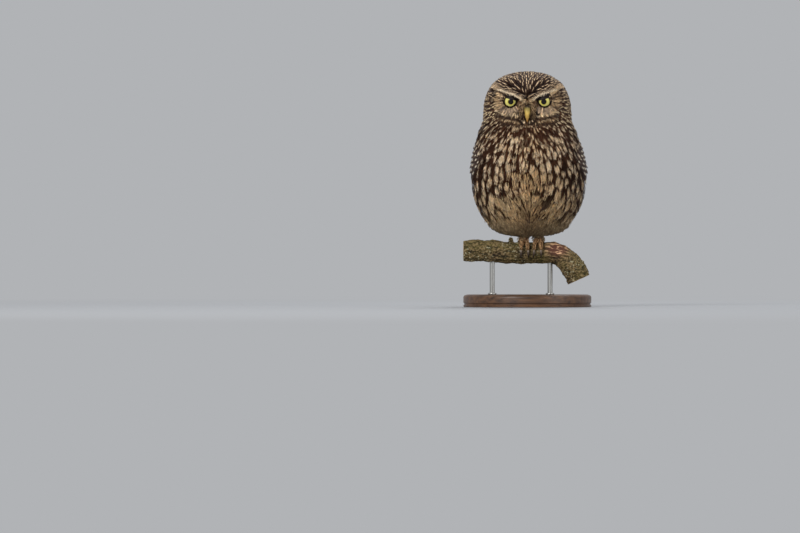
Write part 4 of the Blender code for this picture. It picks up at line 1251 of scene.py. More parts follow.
@dataclass
class Coat:
    """Small feathers over a guide surface, spaced by their size at each place.

    spacing is each feather's own room against its pitch, sink how deep its root lies against
    the coat's depth, arch how round its back is against its width, and fray and ragged how
    uneven its tip and its edges are.
    """

    ground: Ground
    lie: Callable[[Places], Array]
    plumage: Callable[[Places], Plumes]
    depth: Callable[[Places], Array]
    wanted: Callable[[Places], Array]
    spacing: float = 0.86
    tries: int = 8
    cell: float = 5.0 * MM
    sink: float = 0.92
    arch: float = 0.085
    fray: float = 0.05
    ragged: float = 0.1
    laid: list[tuple[Array, ...]] = field(default_factory=list)

    def roots(self, rng: Rng) -> Places:
        """Feather roots, each with an ellipse of room of its own."""
        ground = self.ground
        pitch = self.plumage(Places(ground.points[ground.faces].mean(1), ground.normals)).pitch
        found = ground.scattered(self.tries / pitch.prod(1), rng)
        found = found[self.wanted(found)]
        room = self.spacing * self.plumage(found).pitch
        points, lie = found.points, self.lie(found)
        beside = np.cross(lie, found.normals)
        cells = np.floor(points / self.cell).astype(int)
        reach = np.ceil(room.max(1) / self.cell).astype(int)
        taken: dict[tuple[int, ...], list[int]] = {}
        kept = []
        for k in range(len(points)):
            span = range(-reach[k], reach[k] + 1)
            x, y, z = cells[k]
            close = []
            for dx, dy, dz in product(span, span, span):
                close += taken.get((x + dx, y + dy, z + dz), ())
            if close:
                apart = points[close] - points[k]
                a = apart @ lie[k] / room[k, 0]
                b = apart @ beside[k] / room[k, 1]
                if (a * a + b * b).min() < 1:
                    continue
            taken.setdefault((x, y, z), []).append(k)
            kept.append(k)
        found = found[kept]
        return found[ground.is_open(found)]

    def seen(self, roots: Places) -> Plumes:
        """What feathers are like, their colours read where their tips show."""
        made = self.plumage(roots)
        shown = roots.points + self.lie(roots) * (0.7 * made.length)[:, None]
        made.rows[:, 2:] = self.plumage(self.ground.nearest(shown)).rows[:, 2:]
        return made

    def lay(self, roots: Places, plumes: Plumes, cut: Cut, rng: Rng, splay: float = 0.0) -> Vanes:
        """Lays feathers along the surface from their roots.

        Args:
            roots: their roots on the guide.
            plumes: what they are like.
            cut: how finely they are cut.
            rng: the source of random numbers.
            splay: how far their tips stand off, against their length.

        Returns:
            The feathers.
        """
        count = len(roots.points)
        length = plumes.length * rng.uniform(0.85, 1.12, count)
        width = plumes.width * rng.uniform(0.88, 1.12, count)
        sway = rng.normal(0, 0.11, count)[:, None]
        depth = self.depth(roots)
        lift = rng.uniform(-0.12, 0.1, count) * depth
        stand = splay * length * rng.uniform(0.2, 1.0, count)
        alongs = np.array(cut.alongs)
        columns = np.linspace(-1, 1, cut.columns)
        halves = outline(alongs)
        at = roots
        way = self.lie(at)
        way = ahead = on_tangent(way + sway * np.cross(way, at.normals), at.normals)
        rings = []
        for k, along in enumerate(alongs):
            if k:
                step = (along - alongs[k - 1]) * length
                at = self.ground.nearest(at.points + way * step[:, None])
                lie = self.lie(at)
                way = on_tangent(way + 0.5 * (lie + sway * np.cross(lie, at.normals)), at.normals)
            beside = np.cross(way, at.normals)
            rise = lift * along + stand * along**2 - self.sink * depth * (1 - along) ** 1.3
            middle = at.points + at.normals * rise[:, None]
            notch = rng.normal(0, 1, (count, cut.columns)) + (-1.0) ** np.arange(cut.columns)
            frayed = self.fray * along**3 * notch
            edge = 1 + self.ragged * rng.normal(0, 1, (count, cut.columns)) * (k > 0)
            out = 0.5 * columns * halves[k] * edge * width[:, None]
            arch = -self.arch * columns**2 * halves[k] * width[:, None]
            rings.append(
                middle[:, None, :]
                + beside[:, None, :] * out[..., None]
                + at.normals[:, None, :] * arch[..., None]
                + way[:, None, :] * (frayed * length[:, None])[..., None]
            )
        strength = np.clip(plumes.strength * rng.normal(1, 0.1, count), 0, 1)
        ground = plumes.ground * rng.normal(1, 0.2, (count, 1)).clip(0.55, 1.6)
        pale = plumes.pale * rng.normal(1, 0.08, (count, 1)).clip(0.6, 1.3)
        mark = plumes.mark * rng.normal(1, 0.05, (count, 2))
        reach = plumes.reach * rng.normal(1, 0.22, (count, 2)).clip(0.4, 1.5)
        beside = np.cross(ahead, roots.normals)
        place = (roots.points, ahead, beside, length, 0.5 * width)
        self.laid.append((*place, mark, reach, ground, pale))
        made = Vanes(cut)
        made.add(
            np.stack(rings, 1).reshape(count, cut.corners, 3),
            body_bake(roots),
            np.column_stack([length / MM, 0.5 * width / MM, np.zeros(count)]),
            (ground, pale),
            np.column_stack([mark, strength]),
            np.column_stack([reach, np.full(count, 0.5)]),
            rng.random(count),
        )
        return made

    def shown(self, points: Array, shortest: float) -> Array:
        """The colours that the laid feathers show at some places.

        Args:
            points: places on the guide.
            shortest: leaves out feathers that are shorter than this.

        Returns:
            For each place the colour there of the feather whose tip lies uppermost, its ground in
            painted shade.
        """
        held = [np.concatenate(parts) for parts in zip(*self.laid)]
        roots, ahead, beside, length, half, mark, reach, ground, pale = (
            part[held[3] > shortest] for part in held
        )
        tree = KDTree(len(roots))
        for k, root in enumerate(roots):
            tree.insert(root, k)
        tree.balance()
        colours = np.empty((len(points), 3))
        for k, point in enumerate(points):
            near = np.array([found[1] for found in tree.find_range(point, LONGEST_FEATHER)], int)
            if not len(near):
                near = np.array([tree.find(point)[1]])
            apart = point - roots[near]
            along = (apart * ahead[near]).sum(1) / length[near]
            edge = half[near] * np.maximum(outline(along), 0.05)
            across = np.abs((apart * beside[near]).sum(1)) / edge
            over = np.where((along > 0) & (along < 1) & (across < 1), along, -1)
            top = int(over.argmax())
            one = near[top]
            from_mark = (np.array([along[top], across[top]]) - mark[one]) / reach[one]
            in_mark = from_mark @ from_mark < MARK_EDGE
            # Painted shade: outside the mark the ground is darkened, as barbs in the shade of the
            # feather above.
            colours[k] = pale[one] if in_mark else GROUND_PAINTED_SHADE * ground[one]
        return colours


@dataclass
class BodyCoat:
    """The coat over head and body, in pieces."""

    ground: Ground
    wings: Sequence["WingSheet"]
    seed: int = 7
    behind: float = 42 * MM
    clearance: float = 2.6 * MM
    lid: float = 6.9
    hem: float = 7.4

    def __post_init__(self) -> None:
        """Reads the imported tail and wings, which keep the coat's roots off."""
        mesh = bmesh.new()
        for name in ("tail", "wing_left", "wing_right"):
            mesh.from_mesh(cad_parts[name].data)
        self.plates = BVHTree.FromBMesh(mesh)
        mesh.free()

    def wanted(self, at: Places) -> Array:
        """Which places may carry a feather's root: clear of eyes, bill, feet and folded wings."""
        front = at.normals[:, 1] < 0
        under_frown = at.height - EYE_HEIGHT - 0.28 * (at.across - EYE_ACROSS) < 3.4
        on_lid = front & under_frown & (at.from_eye < self.lid)
        on_bill = front & (at.across < 2.3) & (at.height > 115.5) & (at.height < 129.5)
        keep = ~on_lid & ~on_bill & (at.height > self.hem)
        for wing in self.wings:
            keep &= ~wing.covers(at.points, 2.2 * MM)
        for k in np.flatnonzero(keep & (at.points[:, 1] > self.behind)):
            keep[k] = self.plates.find_nearest(Vector(at.points[k]), self.clearance)[0] is None
        return keep

    def build(self) -> None:
        """Grows the face, the crown, the throat, the breast, the flanks and the back."""
        rng = np.random.default_rng(self.seed)
        coat = Coat(self.ground, body_flow, body_plumage, coat_depth, self.wanted)
        roots = coat.roots(rng)
        plumes = coat.seen(roots)
        self.widen(plumes, roots)
        small, large = plumes.length < 6 * MM, plumes.length > 13 * MM
        uneven = np.exp(rng.normal(0, 0.38, (int(small.sum()), 1))).clip(0.4, 1.5)
        plumes.rows[small, 7:10] *= uneven
        middling, high, turn = ~small & ~large, roots.height > 112, roots.turn
        groups = {
            "coat_face": (small, SMALL_CUT, "head"),
            "coat_crown": (middling & high, MIDDLE_CUT, "head"),
            "coat_throat": (middling & ~high, MIDDLE_CUT, "body"),
            "coat_breast": (large & (turn <= 50), LARGE_CUT, "body"),
            "coat_flanks": (large & (turn > 50) & (turn <= 110), LARGE_CUT, "body"),
            "coat_back": (large & (turn > 110), LARGE_CUT, "body"),
        }
        for name, (chosen, cut, part) in groups.items():
            vanes = coat.lay(roots[chosen], plumes.those(chosen), cut, rng)
            finish = FACE_FEATHER if name == "coat_face" else BODY_FEATHER
            dress(vanes.mesh(name), finish, slot="feathers_" + part)
            LOG.info("%s: %d feathers", name, int(chosen.sum()))
        self.wisps(coat, rng)
        self.fringe(coat, rng)
        self.bristles(coat, rng)

    def widen(self, plumes: Plumes, roots: Places) -> None:
        """Widens the forehead's feathers, whose lie fans out, so that no bare wedges show.

        Args:
            plumes: the feathers, changed in place.
            roots: their roots.
        """
        from_source = np.linalg.norm(roots.points - CROWN_SOURCE, axis=1)
        wider = 1 + 0.8 * plumes.length / np.maximum(from_source, 4 * MM)
        wider = 1 + (wider.clip(1, 1.7) - 1) * fade(roots.height, 136, 139) * (roots.turn < 90)
        plumes.rows[:, 1] *= wider
        plumes.rows[:, 5] /= wider**0.5

    def bristles(self, coat: Coat, rng: Rng) -> None:
        """Stiff bristles that sweep down past both sides of the bill and over its root.

        Args:
            coat: the coat that they stand in.
            rng: the source of random numbers.
        """
        at = self.ground.scattered(4.5e6, rng)
        keep = (at.normals[:, 1] < -0.3) & (at.height > 121) & (at.height < 133.5)
        keep &= (at.across < 8.5) & ((at.across > 2.2) | (at.height > 129)) & (at.from_eye > 8)
        at = at[keep]
        plumes = coat.plumage(at).as_barbs(2.3, 0.22, 0.0)
        paleness = 0.1 + 0.35 * fade(at.height, 123, 128)[:, None]
        pale = rng.random(paleness.shape) < paleness
        plumes.rows[:, 7:10] = np.where(pale, rgb("#c4a47a"), rgb("#3a2416"))
        vanes = coat.lay(at, plumes, BARB_CUT, rng, splay=0.3)
        dress(vanes.mesh("bill_bristles"), FACE_FEATHER, slot="feathers_head")

    def wisps(self, under: Coat, rng: Rng) -> None:
        """Loose barbs that lie over the coat in its own pattern and soften its feathers' edges.

        Their colours are painted brighter than the coat's, as highlights on the strands.

        Args:
            under: the coat that they lie on.
            rng: the source of random numbers.
        """
        coat = Coat(self.ground, body_flow, body_plumage, level_depth(0.9 * MM), self.wanted)
        at = self.ground.scattered(7.0e5, rng)
        at = at[(at.height > 12) & (at.height < 112) & self.wanted(at)]
        plumes = coat.plumage(at).as_barbs(2.4, 0.26, 0.0)
        middles = at.points + 0.4 * plumes.length[:, None] * coat.lie(at)
        # Painted light: each barb is painted about 1.5 times brighter than the coat under it, by a
        # random amount, as highlights on the strands, up to BARB_PALE.
        light = 1.5 * np.exp(rng.normal(0, 0.25, (len(middles), 1)))
        lit = under.shown(middles, 6 * MM) * light
        plumes.rows[:, 7:10] = np.minimum(lit, rgb(BARB_PALE))
        in_front = at.turn < 62
        for name, chosen in (("coat_wisps_front", in_front), ("coat_wisps_back", ~in_front)):
            vanes = coat.lay(at[chosen], plumes.those(chosen), WISP_CUT, rng, splay=0.1)
            dress(vanes.mesh(name), FACE_FEATHER, slot="feathers_body")
            LOG.info("%s: %d barbs", name, int(chosen.sum()))

    def fringe(self, coat: Coat, rng: Rng) -> None:
        """Loose barbs round the foot of the belly, where the down shows.

        Args:
            coat: the coat that they hang from.
            rng: the source of random numbers.
        """
        at = self.ground.scattered(1.6e6, rng)
        low = rng.random(len(at.points)) < 1 - fade(at.height, 10, 26)
        at = at[low & (at.height > self.hem) & self.wanted(at)]
        plumes = coat.plumage(at).as_barbs(3.6, 0.34, 0.3)
        paleness = rng.random((len(at.points), 1)) * 0.7 + 0.2
        plumes.rows[:, 7:10] = plumes.ground * (1 - paleness) + plumes.pale * paleness
        vanes = coat.lay(at, plumes, BARB_CUT, rng, splay=0.28)
        dress(vanes.mesh("coat_fringe"), FACE_FEATHER, slot="feathers_body")


@dataclass
class LegCoat:
    """Short bristly feathers over the shanks and toes."""

    seed: int = 11
    nodes: tuple[str, ...] = ("leg_left", "leg_right", "foot_left", "foot_right")

    def wanted(self, at: Places) -> Array:
        """Which places may carry a feather's root: not those under the toes."""
        from_axis = np.hypot(at.points[:, 1], at.points[:, 2] - PERCH_TOP + PERCH_RADIUS)
        return (from_axis > PERCH_RADIUS + 1.1 * MM) & (at.points[:, 2] < PERCH_TOP + 15 * MM)

    def build(self) -> None:
        """Grows them over a closer guide of their own."""
        rng = np.random.default_rng(self.seed)
        ground = Ground(fused("leg_guide", self.nodes, 0.3 * MM, 0.9 * MM, 4))
        coat = Coat(ground, leg_flow, leg_plumage, level_depth(0.45 * MM), self.wanted)
        roots = coat.roots(rng)
        plumes = coat.seen(roots)
        plumes.rows[:, 7:13] *= np.exp(rng.normal(0, 0.2, (len(roots.points), 1)))
        vanes = coat.lay(roots, plumes, BARB_CUT, rng, splay=0.16)
        dress(vanes.mesh("coat_legs"), FACE_FEATHER, slot="feathers_leg")


def smoothed(grid: Array) -> Array:
    """A grid with each value drawn towards its neighbours."""
    padded = np.pad(grid, 1, mode="edge")
    around = padded[:-2, 1:-1] + padded[2:, 1:-1] + padded[1:-1, :-2] + padded[1:-1, 2:]
    return 0.5 * grid + 0.125 * around


@dataclass(frozen=True)
class Tier:
    """A row of wing feathers.

    first and last are root and tip along the wing for the first feather and for the last, and
    shares are where they lie across it. half and lift, the heights of root and tip, are in mm.
    """

    name: str
    count: int
    first: tuple[float, float]
    last: tuple[float, float]
    shares: tuple[float, float]
    half: float
    lift: tuple[float, float]
    spots: tuple[float, float, float, float, float]
    ground: str
    step: float = 0.0
    pale: str = "#d6c8af"


# The wing's tiers from the lowest up. spots: how often a mark repeats, where it starts, how far
# it is off the shaft, and its half sizes.
WING_TIERS = (
    Tier(
        "primary", 8, (0.56, 0.93), (0.60, 1.04), (0.10, 0.52), 4.4,
        (-3.2, -2.9), (5, 0.1, 0.6, 0.2, 0.34), "#38251a", 0.3,
    ),
    Tier(
        "secondary", 10, (0.26, 0.66), (0.44, 0.90), (0.10, 0.9), 5.0,
        (-3.0, -0.7), (4, 0.2, 0.6, 0.14, 0.26), "#40291b",
    ),
    Tier(
        "greater", 9, (0.10, 0.42), (0.28, 0.60), (0.08, 0.9), 5.2,
        (-3.0, 0.0), (2, 0.2, 0.5, 0.11, 0.24), "#3c271a",
    ),
    Tier(
        "median", 9, (0.0, 0.24), (0.16, 0.42), (0.08, 0.9), 5.0,
        (-3.0, 0.3), (1, -0.28, 0.5, 0.09, 0.26), "#3a2519",
    ),
    Tier(
        "lesser_low", 9, (-0.08, 0.12), (0.06, 0.28), (0.08, 0.92), 4.4,
        (-2.8, 0.5), (1, -0.3, 0.0, 0.08, 0.3), "#382418",
    ),
    Tier(
        "lesser_mid", 8, (-0.12, 0.05), (0.0, 0.18), (0.1, 0.9), 4.0,
        (-2.6, 0.6), (1, -0.3, 0.0, 0.08, 0.3), "#382418",
    ),
    Tier(
        "lesser_high", 7, (-0.15, -0.02), (-0.06, 0.09), (0.1, 0.9), 3.8,
        (-2.4, 0.6), (1, -0.3, 0.0, 0.08, 0.3), "#382418",
    ),
)


@dataclass
class WingSheet:
    """The surface that a folded wing lies along: over the body, and then out over the tail.

    It is read as (along, turn): along is 0 at the shoulders and 1 at the wing tips, and turn is
    0 sideways and 90 degrees up and back. Distances out from the axis are kept in a grid.
    """

    side: Side
    ground: Ground
    start: Array = field(default_factory=lambda: np.array([LEAN, -8 * MM, PERCH_TOP + 88 * MM]))
    ahead: Array = field(default_factory=lambda: np.array([0, 0.8815, -0.4722]))
    up: Array = field(default_factory=lambda: np.array([0, 0.4722, 0.8815]))
    length: float = 127 * MM
    alongs: Array = field(default_factory=lambda: np.linspace(-0.2, 1.08, 44))
    turns: Array = field(default_factory=lambda: np.radians(np.linspace(-50, 100, 32)))
    far: float = 0.2
    roll: float = 0.8 * MM
    # (along, half width, height over the axis) of the narrowing end beyond the body, in mm.
    end: tuple[Sequence[float], ...] = (
        (0.35, 0.5, 0.6, 0.7, 0.8, 0.9, 1.1), (40, 40, 35, 30, 26, 22.5, 17),
        (22, 19, 14, 10, 8, 6.5, 5),
    )
    # The wing's lower and upper edges: (along, degrees).
    lower: tuple[Sequence[float], ...] = (
        (-0.13, -0.06, 0.1, 0.45, 0.8, 0.92, 1.0),
        (-10, -21, -24, -26, -27, -20, -6),
    )
    upper: tuple[Sequence[float], ...] = (
        (-0.13, -0.06, 0.07, 0.3, 0.5, 0.7, 0.85, 1.0),
        (4, 14, 30, 50, 62, 65, 58, 26),
    )
    # The inner layer's sides and middle, over the surface.
    slab: tuple[float, float] = (-4.0 * MM, -2.6 * MM)
    slab_middle: float = -3.3 * MM

    def __post_init__(self) -> None:
        """Measures the distances out from the axis."""
        self.across = np.array([self.side.sign, 0.0, 0.0])
        over_body = np.array([[self.body_reach(a, t) for t in self.turns] for a in self.alongs])
        places, *sizes = np.array(self.end)
        wide, high = (np.interp(self.alongs, places, size * MM)[:, None] for size in sizes)
        free = 1 / np.hypot(np.cos(self.turns) / wide, np.sin(self.turns) / high)
        free = np.where(self.alongs[:, None] >= places[0], free, 0)
        self.reach = np.maximum(over_body, free)
        for _ in range(3):
            self.reach = smoothed(self.reach)

    def outward(self, turn: Array) -> Array:
        """The way out from the axis at a turn."""
        turn = np.asarray(turn)[..., None]
        return self.across * np.cos(turn) + self.up * np.sin(turn)

    def body_reach(self, along: float, turn: float) -> float:
        """How far the guide's surface is from the axis, or 0 where it isn't met."""
        outward = self.outward(turn)
        start = self.start + self.ahead * (along * self.length) + outward * self.far
        distance = self.ground.tree.ray_cast(Vector(start), Vector(-outward))[3]
        return self.far - distance if distance is not None and distance < self.far else 0.0

    def bare(self, along: Array, turn: Array) -> Array:
        """Points of the surface."""
        along, turn = np.broadcast_arrays(along, turn)
        reach = self.reach_at(along, turn)
        out = self.outward(turn) * reach[..., None]
        return self.start + self.ahead * (along * self.length)[..., None] + out

    def reach_at(self, along: Array, turn: Array) -> Array:
        """Distances out from the axis."""
        i = (along - self.alongs[0]) / (self.alongs[1] - self.alongs[0])
        j = (turn - self.turns[0]) / (self.turns[1] - self.turns[0])
        i = np.clip(i, 0, len(self.alongs) - 1.001)
        j = np.clip(j, 0, len(self.turns) - 1.001)
        a, b = i.astype(int), j.astype(int)
        i, j = i - a, j - b
        low = self.reach[a, b] * (1 - j) + self.reach[a, b + 1] * j
        high = self.reach[a + 1, b] * (1 - j) + self.reach[a + 1, b + 1] * j
        return low * (1 - i) + high * i

    def point(self, along: Array, turn: Array, out: Array) -> Array:
        """Points over the surface by out."""
        forward = self.bare(along + 0.03, turn) - self.bare(along - 0.03, turn)
        around = self.bare(along, turn + 0.1) - self.bare(along, turn - 0.1)
        normal = unit(np.cross(forward, around)) * self.side.sign
        return self.bare(along, turn) + normal * np.asarray(out)[..., None]

    def edges(self, along: Array) -> tuple[Array, Array]:
        """The turns of the wing's lower and upper edges."""
        low, high = (np.radians(np.interp(along, *edge)) for edge in (self.lower, self.upper))
        return low, high

    def covers(self, points: Array, margin: float) -> Array:
        """Which points lie under or on the wing, further inside its edges than a margin."""
        apart = points - self.start
        along = apart @ self.ahead / self.length
        side, high = apart @ self.across, apart @ self.up
        turn = np.arctan2(high, side)
        low, top = self.edges(along)
        slack = margin / np.maximum(np.hypot(side, high), 5 * MM)
        inside = (turn > low + slack) & (turn < top - slack)
        return inside & (along > -0.12 + margin / self.length) & (side > 0)

    def feather(self, tier: Tier, number: int, cut: Cut, rng: Rng) -> tuple[Array, float]:
        """One feather of a tier, kept inside the wing's edges.

        Args:
            tier: its tier.
            number: its number in the tier.
            cut: how finely it is cut.
            rng: the source of random numbers.

        Returns:
            Its corners, and its length in mm.
        """
        share = number / (tier.count - 1)
        root, tip = (a + (b - a) * share for a, b in zip(tier.first, tier.last))
        tip += rng.normal(0, 0.006)
        place = tier.shares[0] + (tier.shares[1] - tier.shares[0]) * share
        grid_along, grid_across = cut.grid()
        grid_across = grid_across * outline(grid_along, 0.5)
        frayed = 0.012 * grid_along**3 * rng.normal(0, 1, len(grid_along))
        along = root + (tip - root) * (grid_along + frayed)
        low, high = self.edges(along)
        middle = low + (high - low) * place
        reach = self.reach_at(along, middle)
        margin = 0.4 * MM / reach
        half = tier.half * MM
        turn = np.clip(middle + grid_across * half / reach, low + margin, high - margin)
        lift = tier.lift[0] + (tier.lift[1] + tier.step * number - tier.lift[0]) * grid_along
        rolled = (turn - middle) * reach / half
        out = lift * MM - self.roll * rolled - 0.1 * half * rolled**2
        return self.point(along, turn, out), (tip - root) * self.length / MM

    def build(self) -> None:
        """Lays all tiers of the wing as one piece, and its slab of under-feathers as another."""
        rng = np.random.default_rng(20 + self.side.sign)
        cut = LARGE_CUT
        vanes = Vanes(cut)
        for row, tier in enumerate(WING_TIERS):
            blades = [self.feather(tier, k, cut, rng) for k in range(tier.count)]
            count = len(blades)
            often, start, off, along, across = tier.spots
            lengths = np.array([length for _, length in blades])
            even = np.ones(count)
            ground = rgb(tier.ground) * rng.normal(1, 0.1, (count, 1))
            pale = rgb(tier.pale) * rng.normal(1, 0.06, (count, 1))
            starts = start + rng.normal(0, 0.05, count)
            alongs = along * rng.normal(1, 0.1, count)
            acrosses = across * rng.normal(1, 0.1, count)
            vanes.add(
                np.stack([points for points, _ in blades]),
                strip_bake(count, 0.05 + 0.12 * row),
                np.column_stack([lengths, tier.half * even, often * even]),
                (ground, pale),
                np.column_stack([starts, off * even, 0.95 * even]),
                np.column_stack([alongs, acrosses, 0.3 * even]),
                rng.random(count),
            )
        made = vanes.mesh(f"wing_feathers_{self.side.value}")
        dress(made, FLIGHT_FEATHER, [f"wing_{self.side.value}"], "feathers_wing")
        self.under_wing()

    def under_wing(self) -> None:
        """The wing's inner layer: a curved slab that carries the feathers and closes the gaps."""
        mesh = bmesh.new()
        alongs = np.linspace(-0.12, 0.8, 40)
        shares = np.linspace(0, 1, 18)
        low, high = self.edges(alongs[:, None])
        turn = low + (high - low) * shares
        taper = np.sin(np.pi * np.clip(shares, 0.02, 0.98)) ** 0.35
        grids = []
        for out in self.slab:
            offset = self.slab_middle + (out - self.slab_middle) * taper
            offset = np.broadcast_to(offset, turn.shape)
            points = self.point(np.broadcast_to(alongs[:, None], turn.shape), turn, offset)
            grids.append([[mesh.verts.new(p) for p in line] for line in points])
        rows, columns = len(alongs), len(shares)
        for grid in grids:
            for r, c in product(range(rows - 1), range(columns - 1)):
                mesh.faces.new((grid[r][c], grid[r][c + 1], grid[r + 1][c + 1], grid[r + 1][c]))
        rim = [(0, c) for c in range(columns)] + [(r, columns - 1) for r in range(1, rows)]
        rim += [(rows - 1, c) for c in reversed(range(columns - 1))]
        rim += [(r, 0) for r in reversed(range(1, rows - 1))]
        inner, outer = grids
        for (r, c), (s, d) in zip(rim, rim[1:] + rim[:1]):
            mesh.faces.new((inner[r][c], inner[s][d], outer[s][d], outer[r][c]))
        bmesh.ops.recalc_face_normals(mesh, faces=mesh.faces)
        made = linked(f"wing_down_{self.side.value}", mesh)
        made.data.shade_smooth()
        count = len(made.data.vertices)
        write_points(made.data, "ground", np.tile(rgb("#38271c"), (count, 1)))
        dress(made, DownySkin(), slot="feathers_wing")


@dataclass
class Tail:
    """The short tail: eleven feathers, the middle one on top, over a short downy root."""

    sheet: WingSheet
    pairs: int = 5
    along: tuple[float, float] = (60 * MM, 140 * MM)
    depth: float = 5.2 * MM
    arch: float = 0.22 * MM
    step: float = 0.62 * MM
    half: float = 5.0 * MM
    spread: tuple[float, float] = (1.3 * MM, 2.4 * MM)
    tuck: float = 0.22
    sink: float = 1.2 * MM
    root_end: float = 0.55

    def point(self, across: Array, share: Array, out: Array) -> Array:
        """Points of the tail: across it, along it to the tip, and over it."""
        distance = self.along[0] + (self.along[1] - self.along[0]) * share
        rise = out - self.arch * (across / (5 * MM)) ** 2 - self.depth
        return (
            self.sheet.start
            + self.sheet.ahead * distance[..., None]
            + np.array([1.0, 0, 0]) * across[..., None]
            + self.sheet.up * rise[..., None]
        )

    def build(self) -> None:
        """Lays the feathers from the outer pairs up to the middle one."""
        rng = np.random.default_rng(31)
        cut = LARGE_CUT
        grid_along, grid_across = cut.grid()
        numbers = np.arange(-self.pairs, self.pairs + 1)
        blades = []
        for number in numbers:
            end = 1.0 - 0.05 * (number / self.pairs) ** 2
            frayed = 0.008 * grid_along**3 * rng.normal(0, 1, len(grid_along))
            share = self.tuck + (end - self.tuck) * (grid_along + frayed)
            apart = self.spread[0] + (self.spread[1] - self.spread[0]) * grid_along
            wide = grid_across * outline(grid_along, 0.75)
            out = 0.3 * MM - self.step * abs(number) - 0.45 * MM * wide**2
            blades.append(self.point(number * apart + wide * self.half, share, out))
        count = len(numbers)
        vanes = Vanes(cut)
        vanes.add(
            np.stack(blades),
            strip_bake(count, 0.95),
            np.tile([62.0, 5.0, 5.0], (count, 1)),
            (
                rgb("#45342a") * rng.normal(1, 0.07, (count, 1)),
                rgb("#cdbda3") * rng.normal(1, 0.05, (count, 1)),
            ),
            np.tile([0.1, 0.55, 0.95], (count, 1)),
            np.tile([0.14, 0.42, 0.35], (count, 1)),
            rng.random(count),
        )
        dress(vanes.mesh("tail_feathers"), FLIGHT_FEATHER, slot="feathers_tail")
        self.root()

    def root(self) -> None:
        """The downy root under the feathers, which ends half way along them."""
        mesh = welded_copy("tail")
        for vert in mesh.verts:
            vert.co -= Vector(self.sheet.up) * self.sink
        middle = Vector(self.point(np.zeros(1), np.full(1, self.root_end), np.zeros(1))[0])
        cut = bmesh.ops.bisect_plane(
            mesh,
            geom=mesh.verts[:] + mesh.edges[:] + mesh.faces[:],
            plane_co=middle,
            plane_no=Vector(self.sheet.ahead),
            clear_outer=True,
        )
        rim = [e for e in cut["geom_cut"] if isinstance(e, bmesh.types.BMEdge)]
        bmesh.ops.holes_fill(mesh, edges=rim, sides=0)
        made = remeshed(linked("tail_down", mesh), 0.9 * MM, 8)
        count = len(made.data.vertices)
        write_points(made.data, "ground", np.tile(rgb("#6f5c46"), (count, 1)))
        dress(made, DownySkin(), ["tail"], "feathers_tail")


def coat_depth(at: Places) -> Array:
    """How deep the coat is at places on the body, in metres."""
    height = at.height
    face = (1 - fade(at.turn, 45, 75)) * fade(height, 112, 122) * (1 - fade(height, 146, 156))
    depth = np.interp(height, (0, 8, 14, 100, 116, 165), (0.7, 1.2, 3.6, 3.6, 2.4, 2.0))
    return (depth * (1 - face) + 1.1 * face) * MM


def level_depth(depth: float) -> Callable[[Places], Array]:
    """A coat's depth that is the same at all places."""
    return lambda at: np.full(len(at.points), depth)


def fused(
    name: str, nodes: Sequence[str], puff: float, voxel: float, rounds: int
) -> bpy.types.Object:
    """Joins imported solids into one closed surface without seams.

    Args:
        name: the new object's name.
        nodes: the solids.
        puff: how far each is swollen first, so that the gaps between them close.
        voxel: the size of the new faces.
        rounds: how often it is smoothed.

    Returns:
        The new object, swollen by puff.
    """
    whole = bmesh.new()
    for node in nodes:
        part = welded_copy(node)
        for vert in part.verts:
            vert.co += vert.normal * puff
        data = bpy.data.meshes.new("part")
        part.to_mesh(data)
        part.free()
        whole.from_mesh(data)
        bpy.data.meshes.remove(data)
    return remeshed(linked(name, whole), voxel, rounds)


@dataclass
class Skin:
    """One skin under the coat, from the crown to the toes."""

    nodes: tuple[str, ...] = ("head", "neck", "torso", *LegCoat.nodes)
    puff: float = 0.4 * MM
    voxel: float = 1.0 * MM
    rounds: int = 5
    # Painted shade: the share of the coat's ground colour that the skin gets, as the shade between
    # feathers.
    shade: float = 0.6

    def build(self) -> None:
        """Shrinks the joined flesh by the coat's depth and gives it the coat's colours as painted
        shade.
        """
        made = fused("skin", self.nodes, self.puff, self.voxel, self.rounds)
        mesh = bmesh.new()
        mesh.from_mesh(made.data)
        mesh.normal_update()
        at = Places(np.array([v.co for v in mesh.verts]), np.array([v.normal for v in mesh.verts]))
        sunk = at.points - at.normals * (self.puff + coat_depth(at))[:, None]
        for vert, place in zip(mesh.verts, sunk):
            vert.co = place
        mesh.to_mesh(made.data)
        mesh.free()
        body, legs = body_plumage(at), leg_plumage(at)
        low = (1 - fade(at.points[:, 2] - PERCH_TOP, 7 * MM, 10 * MM))[:, None]
        ground = body.ground * (1 - low) + legs.ground * low
        # Painted shade: the coat's ground colour, darkened for the skin that shows between
        # feathers.
        write_points(made.data, "ground", self.shade * ground)
        dress(made, DownySkin(), nodes=self.nodes, slot="feathers_body")


def turned(centre: Vector, ahead: Vector) -> Matrix:
    """The place and turn of something at centre whose +Z looks ahead and whose +Y stays up."""
    across = Vector((0, 0, 1)).cross(ahead).normalized()
    up = ahead.cross(across)
    turn = Matrix((across, up, ahead)).transposed().to_4x4()
    return Matrix.Translation(centre) @ turn


